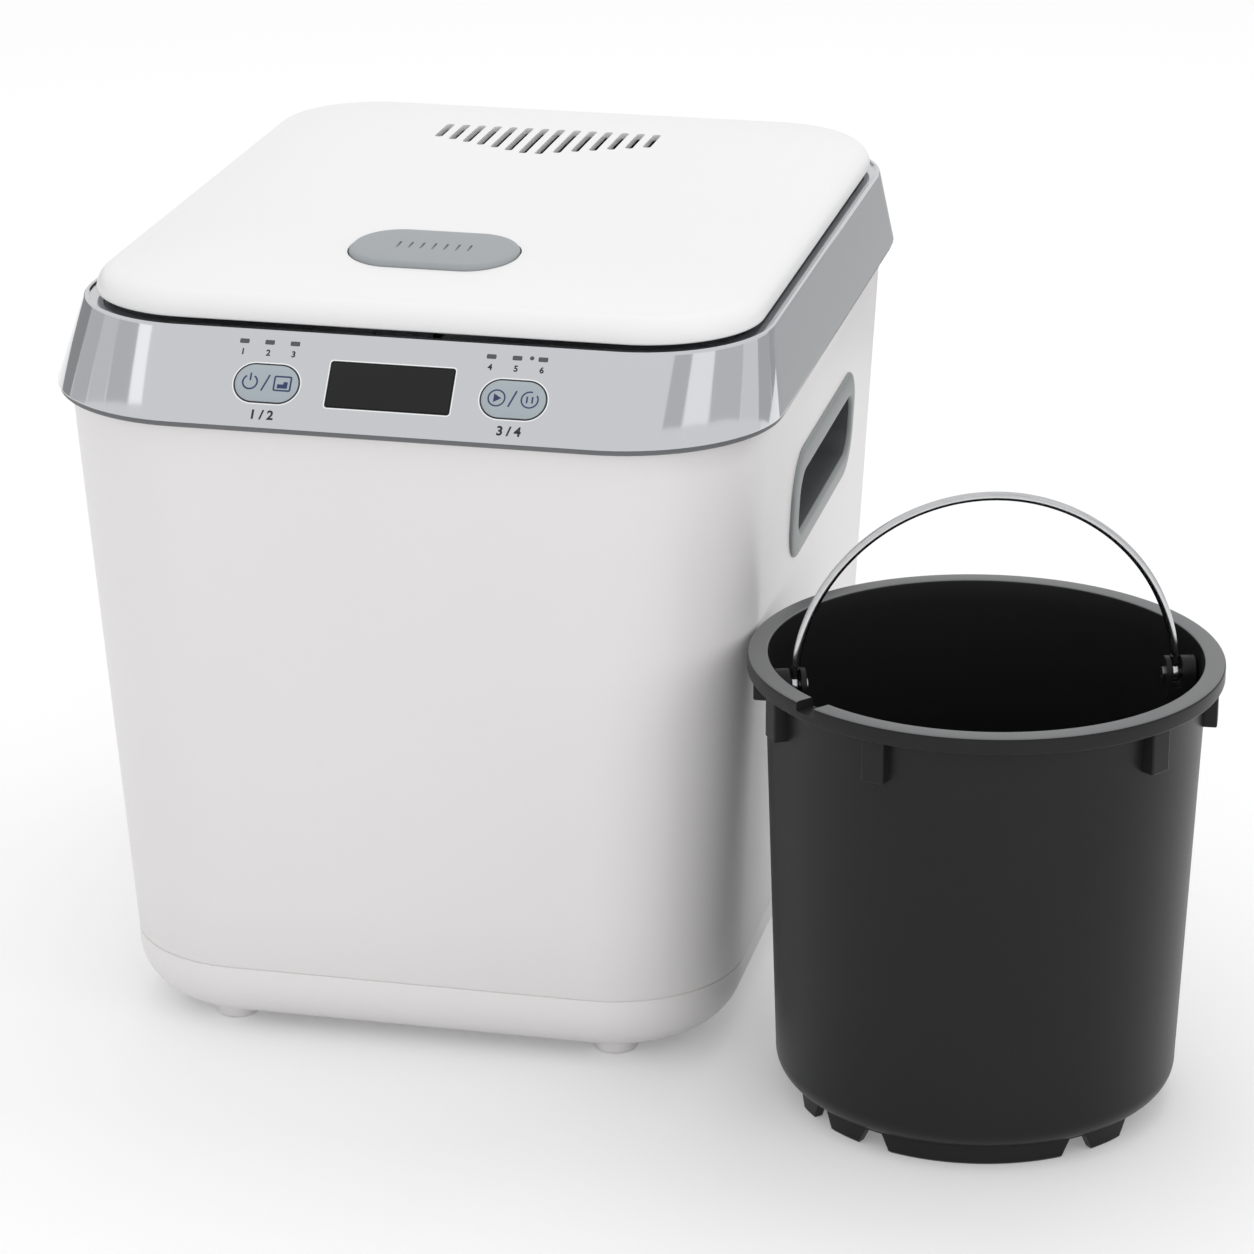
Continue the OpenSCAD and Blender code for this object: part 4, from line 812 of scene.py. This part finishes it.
# %% [markdown]
# ## Softened CAD pieces
#
# Many pieces are blocks, and their CAD shape is right but for its razor edges. Real mouldings
# and pressings have small radii there, which catch a thin line of light. A copy with a bevel gives
# just that.

# %% Softened pieces
SOFTEN = {"filter_tray": 0.6, "power_inlet": 0.6, "bail_ears": 0.8, "hinge_brackets": 0.3,
          "hinge_arm": 0.4, "latch_hook": 0.3, "top_deck": 0.5, "lid_liner": 0.4,
          "lid_switch": 0.4, "drive_coupling": 0.4, "bucket_coupling": 0.4, "agitator": 0.8}
soft = {}
for node, width in SOFTEN.items():
    soft[node] = softened(node, width)
    stand_for(soft[node], node)
print(len(soft), "softened pieces")

# %% [markdown]
# ## Finishes
#
# Each finish is a small node tree. Wiring nodes by hand hides the idea behind it, so a class
# wraps a socket, and plus and times on it add the Math nodes. A finish then reads as a formula.


# %% Shader values as Python expressions
class Value:
    """One number that changes over a surface. Its operators add Math nodes."""

    def __init__(self, finish, socket):
        self.finish, self.socket = finish, socket

    def math(self, operation, *others):
        values = {i: v for i, v in enumerate((self,) + others)}
        return self.finish.node("ShaderNodeMath", {"operation": operation}, values)

    def __add__(self, other):
        return self.math("ADD", other)

    def __sub__(self, other):
        return self.math("SUBTRACT", other)

    def __rsub__(self, other):
        return self.finish.node("ShaderNodeMath", {"operation": "SUBTRACT"}, {0: other, 1: self})

    def __mul__(self, other):
        return self.math("MULTIPLY", other)

    def above(self, low, high):
        """Climbs from 0 at low to 1 at high."""
        values = {"Value": self, "From Min": low, "From Max": high}
        return self.finish.node("ShaderNodeMapRange", {"interpolation_type": "SMOOTHSTEP"}, values)

    __radd__, __rmul__ = __add__, __mul__


class Finish:
    """A material with one Principled shader, to which values are wired by name."""

    def __init__(self, name, colour, roughness, metallic=0.0, **fixed):
        self.material = bpy.data.materials.new(name)
        self.material.use_nodes = True
        self.tree = self.material.node_tree
        self.shader = self.tree.nodes["Principled BSDF"]
        self.name, self.colour = name, colour
        self.set("Base Color", (*colour, 1.0))
        self.set("Roughness", roughness)
        self.set("Metallic", metallic)
        for socket, value in fixed.items():
            self.set(socket.replace("_", " "), value)

    def node(self, kind, settings=None, values=None, output=0):
        """Adds a node: its settings first, then the values or links of its sockets."""
        made = self.tree.nodes.new(kind)
        for setting, value in (settings or {}).items():
            setattr(made, setting, value)
        for socket, value in (values or {}).items():
            self.feed(made.inputs[socket], value)
        return Value(self, made.outputs[output])

    def feed(self, socket, value):
        if isinstance(value, Value):
            self.tree.links.new(value.socket, socket)
        else:
            socket.default_value = value

    def set(self, socket, value):
        self.feed(self.shader.inputs[socket], value)

    def place(self):
        """Where a point lies on the object, in metres."""
        return self.node("ShaderNodeTexCoord", output=3)

    def noise(self, scale, detail=2.0, stretch=None):
        """Noise from 0 to 1. The scale is in waves to the metre, and stretch draws it out."""
        where = self.place()
        if stretch:
            values = {"Vector": where, "Scale": stretch}
            where = self.node("ShaderNodeMapping", {"vector_type": "POINT"}, values)
        values = {"Vector": where, "Scale": scale, "Detail": detail, "Roughness": 0.5}
        return self.node("ShaderNodeTexNoise", {"noise_dimensions": "3D"}, values)

    def tint(self, share, other):
        """Mixes the finish's colour towards another by a share that varies."""
        mixed = self.node("ShaderNodeMix", {"data_type": "RGBA", "clamp_factor": True},
                          {0: share, 6: (*self.colour, 1.0), 7: (*other, 1.0)}, output=2)
        self.set("Base Color", mixed)

    def bump(self, height, distance):
        """Dents or raises the surface's light by a height times a distance in metres."""
        values = {"Height": height, "Distance": distance, "Strength": 1.0}
        self.set("Normal", self.node("ShaderNodeBump", None, values))


def srgb(r, g, b):
    """Screen values from 0 to 255 as linear light: ((v + 0.055) / 1.055) to the power 2.4."""
    return tuple(((v / 255 + 0.055) / 1.055) ** 2.4 for v in (r, g, b))


print("white plastic in linear light:", [round(v, 3) for v in srgb(236, 235, 235)])

# %% [markdown]
# Moulded plastic is never quite even. Its mould was sparked or blasted, which leaves a grain of
# about a third of a millimetre, and its gloss changes a little from place to place. Broad noise
# moves the colour by a few percent, as thick and thin walls do on the real thing.


# %% Moulded plastic
def moulded(name, colour, roughness, grain=2600.0, depth=0.000006, cloud=9.0, spread=0.06,
            shift=0.95, **fixed):
    """Broad noise moves the roughness by up to `spread` either way, and the colour towards `shift`
    times itself. Fine noise moves the roughness a little and makes the grain."""
    made = Finish(name, colour, roughness, **fixed)
    broad = made.noise(cloud, 3.0)
    fine = made.noise(grain, 2.0)
    made.set("Roughness", roughness + (broad - 0.5) * spread * 2 + (fine - 0.5) * 0.05)
    made.tint(broad.above(0.35, 0.75) * 0.8, tuple(v * shift for v in colour))
    made.bump(fine, depth)
    return made


plastics = [
    moulded("body_white", srgb(233, 231, 231), 0.36, depth=0.000004, shift=0.985),
    moulded("lid_white", srgb(240, 240, 240), 0.30, depth=0.000003, shift=0.985, cloud=6.0),
    moulded("strip_grey", srgb(104, 105, 108), 0.45),
    moulded("deck_grey", srgb(150, 153, 156), 0.42),
    moulded("window_black", srgb(24, 24, 24), 0.14, depth=0.0000005, spread=0.02,
            Specular_IOR_Level=0.3),
    moulded("lens_dark", srgb(78, 81, 85), 0.22, depth=0.000001),
    moulded("key_blue_grey", srgb(164, 174, 180), 0.20, depth=0.000001, spread=0.03, cloud=60.0,
            Coat_Weight=0.5),
    moulded("lid_button_grey", srgb(155, 160, 163), 0.40, depth=0.000006),
    moulded("bezel_grey", srgb(138, 143, 143), 0.42, depth=0.000008),
    moulded("rubber_black", srgb(40, 40, 41), 0.62, grain=1500.0, depth=0.00001),
    moulded("dark_plastic", srgb(52, 53, 55), 0.45),
    moulded("gear_nylon", srgb(226, 219, 192), 0.40),
    moulded("board_green", srgb(32, 98, 58), 0.40, cloud=120.0, shift=0.7),
    moulded("display_dark", srgb(44, 58, 52), 0.40)]
print(len(plastics), "plastics")

# %% [markdown]
# The trim is plastic under a silver lacquer: flakes of metal under a clear gloss. Mixed metallic
# gives the flakes, a coat gives the gloss, and the noise is far finer than on plastic. Brushed
# and cast metals stretch or coarsen the same noise.


# %% Silver lacquer, metals and coatings
def lacquer(name, colour, roughness, metallic, coat):
    """Fine noise stands for the flakes. It moves roughness a little and barely moves the colour."""
    made = Finish(name, colour, roughness, metallic, Coat_Weight=coat, Coat_Roughness=0.06)
    flakes = made.noise(5200.0, 1.0)
    broad = made.noise(7.0, 2.0)
    made.set("Roughness", roughness + (flakes - 0.5) * 0.04 + (broad - 0.5) * 0.02)
    made.tint(flakes.above(0.3, 0.8) * 0.35, tuple(v * 0.93 for v in colour))
    made.bump(flakes, 0.0000006)
    return made


def drawn_metal(name, colour, roughness, stretch, depth=0.000002):
    """Noise drawn out along one axis makes the fine lines that brushing or drawing leaves."""
    made = Finish(name, colour, roughness, 1.0)
    lines = made.noise(900.0, 3.0, stretch)
    broad = made.noise(30.0, 2.0)
    made.set("Roughness", roughness + (lines - 0.5) * 0.12 + (broad - 0.5) * 0.08)
    made.tint(lines.above(0.35, 0.7) * 0.5, tuple(v * 0.88 for v in colour))
    made.bump(lines, depth)
    return made


def coated(name, colour, roughness, grain=1400.0, depth=0.00001, shift=1.25, **fixed):
    """A dense orange-peel grain under a satin gloss, with the colour moved towards `shift` times
    itself where it is worn."""
    made = Finish(name, colour, roughness, 0.0, **fixed)
    peel = made.noise(grain, 2.0)
    broad = made.noise(14.0, 3.0)
    made.set("Roughness", roughness + (peel - 0.5) * 0.08 + (broad - 0.5) * 0.08)
    worn = broad.above(0.45, 0.75) * 0.5 + peel.above(0.55, 0.8) * 0.3
    made.tint(worn, tuple(v * shift for v in colour))
    made.bump(peel, depth)
    return made


metals = [
    lacquer("silver_trim", srgb(216, 218, 221), 0.07, 0.9, 0.25),
    drawn_metal("liner_metal", srgb(200, 201, 204), 0.30, (1, 1, 0.06)),
    drawn_metal("bail_chrome", srgb(214, 215, 217), 0.22, (0.2, 1, 1), 0.0000004),
    drawn_metal("steel", srgb(186, 188, 190), 0.28, (0.1, 1, 1)),
    drawn_metal("brass", srgb(196, 164, 96), 0.26, (1, 0.1, 1)),
    coated("cast_alloy", srgb(150, 151, 153), 0.50, 700.0, 0.00003, 0.85),
    coated("bucket_black", srgb(30, 30, 31), 0.36, 1800.0, 0.000006, Specular_IOR_Level=0.2),
    coated("agitator_grey", srgb(74, 75, 77), 0.42),
    coated("carbon_black", srgb(38, 38, 38), 0.80, 500.0, 0.0004)]
finishes = {made.name: made for made in plastics + metals}
# A lighter grey for the rim's top faces: painted sheen on the black coating where it faces up.
rim_painted_sheen = coated("rim_painted_sheen", srgb(104, 105, 106), 0.34, 1800.0, 0.000006, 1.15)
# A darker copy of the bezel's grey for the pocket: painted shade inside the recess.
pocket_painted_shade = moulded("pocket_painted_shade", srgb(80, 84, 85), 0.5, depth=0.00001)
# Dark ink for the printed figures. It also serves as painted shade on the lid liner's top and along
# the panel's holes.
dark_ink_and_shade = moulded("dark_ink_and_shade", srgb(28, 29, 32), 0.5, depth=0.0000005)
# White for the lines round the panel's holes, which are a painted highlight.
painted_highlight_white = moulded("painted_highlight_white", srgb(244, 245, 246), 0.45, depth=0.0000005)
ink_blue = moulded("ink_blue", srgb(36, 54, 96), 0.45, depth=0.0000005)
print(len(finishes), "finishes, two greys and three inks")


# %% Give every piece its finish
def dress(made, finish):
    """One finish on the whole piece."""
    made.data.materials.clear()
    made.data.materials.append(finish.material)


def two_tone(made, finish, faces):
    """A second finish on the faces whose entry is true."""
    made.data.materials.append(finish.material)
    made.data.polygons.foreach_set("material_index", np.asarray(faces, dtype=np.int32))


slot_of = {row["node"]: row["material_slot"] for row in frame["record"]["subparts"]}
print("slots:", len(set(slot_of.values())))

# %% Dress the pieces
own_finish = {power_symbol: ink_blue, enter_symbol: ink_blue, painted_highlight_lines: painted_highlight_white,
              painted_shade_lines: dark_ink_and_shade, figures: dark_ink_and_shade}
stands = {body_skin: "body_shell", base_skin: "base_cover", foot_skins: "foot_pads",
          trim_skin: "trim_ring", strip_skin: "trim_strip", lid_skin: "lid_shell",
          lid_button_skin: "lid_button", handle_skins: "handle_cups", power_key: "power_button",
          enter_key: "enter_button", window_skin: "display_window", lens_skins: "indicator_lenses",
          pail_skin: "bucket_shell", ribs: "bucket_shell", foot_parts: "bucket_shell",
          bail_skin: "bail_wire"}
stands.update({made: node for node, made in soft.items()})
for made, node in stands.items():
    dress(made, finishes[slot_of[node]])
# Painted shade: the pocket faces get the darker grey.
two_tone(handle_skins, pocket_painted_shade, pocket)
# Painted sheen: the rim's top faces get the lighter grey.
two_tone(pail_skin, rim_painted_sheen, on_rim)
liner = soft["lid_liner"]
# The liner's upward faces lie under the lid and show through the vents. The dark colour there is
# painted shade.
two_tone(liner, dark_ink_and_shade, [p.normal.z > 0.5 for p in liner.data.polygons])
for made, finish in own_finish.items():
    dress(made, finish)
for node, made in nodes.items():
    dress(made, finishes[slot_of[node]])
print(len(stands) + len(own_finish), "pieces and", len(nodes), "CAD nodes are dressed")

# %% [markdown]
# ## Light, floor and background
#
# The picture's white ground is a floor that is nearly white under the lamps, with a little glow
# that only the camera and reflections see. So the floor keeps the soft shadow, and the object
# gets no more light for it. Three soft boxes light the set from above, the front and the right.
# They don't show in reflections.


# %% Floor
GLOW = 0.2


def floor_finish():
    """Diffuse white plus a glow that is there for camera, glossy and transmission rays only."""
    made = Finish("floor", (0.80, 0.80, 0.80), 1.0, Specular_IOR_Level=0.0)
    path = made.tree.nodes.new("ShaderNodeLightPath")
    seen = Value(made, path.outputs["Is Camera Ray"]) + Value(made, path.outputs["Is Glossy Ray"])
    seen = seen + Value(made, path.outputs["Is Transmission Ray"])
    grain = made.noise(3.0, 2.0)
    made.set("Roughness", 0.95 + (grain - 0.5) * 0.05)
    made.set("Emission Color", (1.0, 1.0, 1.0, 1.0))
    made.set("Emission Strength", seen * GLOW)
    return made


REACH = 9000
floor = piece("floor", box((-REACH, -REACH, -20), (REACH, REACH, 0)))
floor.data.materials.append(floor_finish().material)
print("floor", tuple(round(v, 1) for v in floor.dimensions))

# %% World
world = bpy.data.worlds.new("studio")
bpy.context.scene.world = world
world.use_nodes = True
tree = world.node_tree
path = tree.nodes.new("ShaderNodeLightPath")
plain = tree.nodes["Background"]
plain.inputs["Color"].default_value = (1.0, 1.0, 1.0, 1.0)
plain.inputs["Strength"].default_value = 0.88
bright = tree.nodes.new("ShaderNodeBackground")
bright.inputs["Strength"].default_value = 1.0
choose = tree.nodes.new("ShaderNodeMixShader")
either = tree.nodes.new("ShaderNodeMath")
either.operation = "MAXIMUM"
for source, target in ((path.outputs["Is Camera Ray"], either.inputs[0]),
                       (path.outputs["Is Glossy Ray"], either.inputs[1]),
                       (either.outputs[0], choose.inputs[0]),
                       (plain.outputs[0], choose.inputs[1]),
                       (bright.outputs[0], choose.inputs[2]),
                       (choose.outputs[0], tree.nodes["World Output"].inputs[0])):
    tree.links.new(source, target)
bpy.context.scene.view_settings.view_transform = "Standard"
print("world strength", plain.inputs["Strength"].default_value)


# %% Lamps
def soft_box(name, place, width, height, power):
    """An area lamp that looks at the middle of the set. Its power is in watts."""
    data = bpy.data.lights.new(name, "AREA")
    data.shape, data.size, data.size_y, data.energy = "RECTANGLE", width, height, power
    lamp = bpy.data.objects.new(name, data)
    bpy.context.scene.collection.objects.link(lamp)
    lamp.location = place
    lamp.rotation_euler = (Vector(MIDDLE) - Vector(place)).to_track_quat("-Z", "Y").to_euler()
    lamp.visible_camera = lamp.visible_glossy = False


MIDDLE = (0.05, 0.0, 0.15)
soft_box("top_box", (0.1, 0.75, 2.2), 1.6, 1.2, 8.5)
soft_box("front_box", (0.3, -2.6, 0.7), 1.6, 1.2, 5.5)
soft_box("right_box", (2.2, -1.0, 0.9), 1.0, 1.4, 4)

# %% [markdown]
# A mirror shows its surroundings, so the bands on the trim's corners are made where they come
# from: by cards round the set. Each card covers the directions that one stretch of the corner
# reflects towards the camera. Only glossy rays meet a card, so it throws no light and no shadow.


# %% Cards for the trim's corners
def corner_point(side, turn, t):
    """A point on a front corner of the trim: turn is 0 at the side and 90 degrees at the front."""
    radius, a = mix(TRIM_R, TOP_R, t), np.radians(turn)
    x = side * (HALF_X - SIDE_RUN * t - radius + radius * np.cos(a))
    y = -HALF_Y + SLOPE_RUN * t + radius - radius * np.sin(a)
    return np.array([x, y, TRIM_Z + SLOPE_RISE * t])


def bounce(side, turn):
    """The way a camera ray leaves the corner: v minus twice its share along the normal, which is
    the cross product of the steps round the corner and up it."""
    here = corner_point(side, turn, 0.5)
    around = corner_point(side, turn + 0.1, 0.5) - corner_point(side, turn - 0.1, 0.5)
    up = corner_point(side, turn, 0.6) - corner_point(side, turn, 0.4)
    normal = unit(np.cross(up, around) * side)
    view = unit(here - np.array(camera.location) / MM)
    return view - 2 * (view @ normal) * normal


def card(name, corners, level):
    """A plain glowing plane that only glossy rays see."""
    made = piece(name, (np.asarray(corners), [[0, 1, 2, 3]]))
    glow = Finish(name, (0.0, 0.0, 0.0), 1.0, Specular_IOR_Level=0.0)
    glow.set("Emission Color", (level, level, level * 1.01, 1.0))
    glow.set("Emission Strength", 1.0)
    made.data.materials.append(glow.material)
    made.visible_camera = made.visible_diffuse = False
    made.visible_shadow = made.visible_transmission = False


CARD_REACH, CARD_SPREAD = 2400.0, 0.16


def corner_card(side, start, end, level):
    """Stretches from the direction at one turn of the corner to that at another."""
    first, last = bounce(side, start), bounce(side, end)
    across = unit(np.cross(first, last))
    base = corner_point(side, (start + end) / 2, 0.5)
    corners = [base + CARD_REACH * (way + share * CARD_SPREAD * across)
               for way, share in ((first, -1), (last, -1), (last, 1), (first, 1))]
    card("card_%s_%d" % ("right" if side > 0 else "left", start), corners, level)


BANDS = {1: [(65, 57.5, 0.53), (57.5, 47, 1.0), (47, 32, 0.57), (32, 22, 0.74), (22, 12, 0.45),
             (12, 1, 0.38)],
         -1: [(79, 73, 1.2), (73, 62, 0.54), (62, 52, 0.64), (52, 40, 0.52), (40, 20, 0.27)]}
for side, bands in BANDS.items():
    for start, end, level in bands:
        corner_card(side, start, end, level)
print(sum(len(bands) for bands in BANDS.values()), "cards for the corners")

# %% Card for the trim's right side
SIDE_MIDDLE, SIDE_REACH = (133.0, 20.0, 276.0), 620
SIDE_CARD = [(-210, -110), (210, -110), (210, 75), (-210, 75)]
away = bounce(1, 0)
middle = np.array(SIDE_MIDDLE) + SIDE_REACH * away
sideways = unit(np.cross(away, (0, 0, 1)))
card("card_side", [middle + sideways * w + np.array([0, 0, h]) for w, h in SIDE_CARD], 0.45)
print("side card at", np.round(middle).tolist())
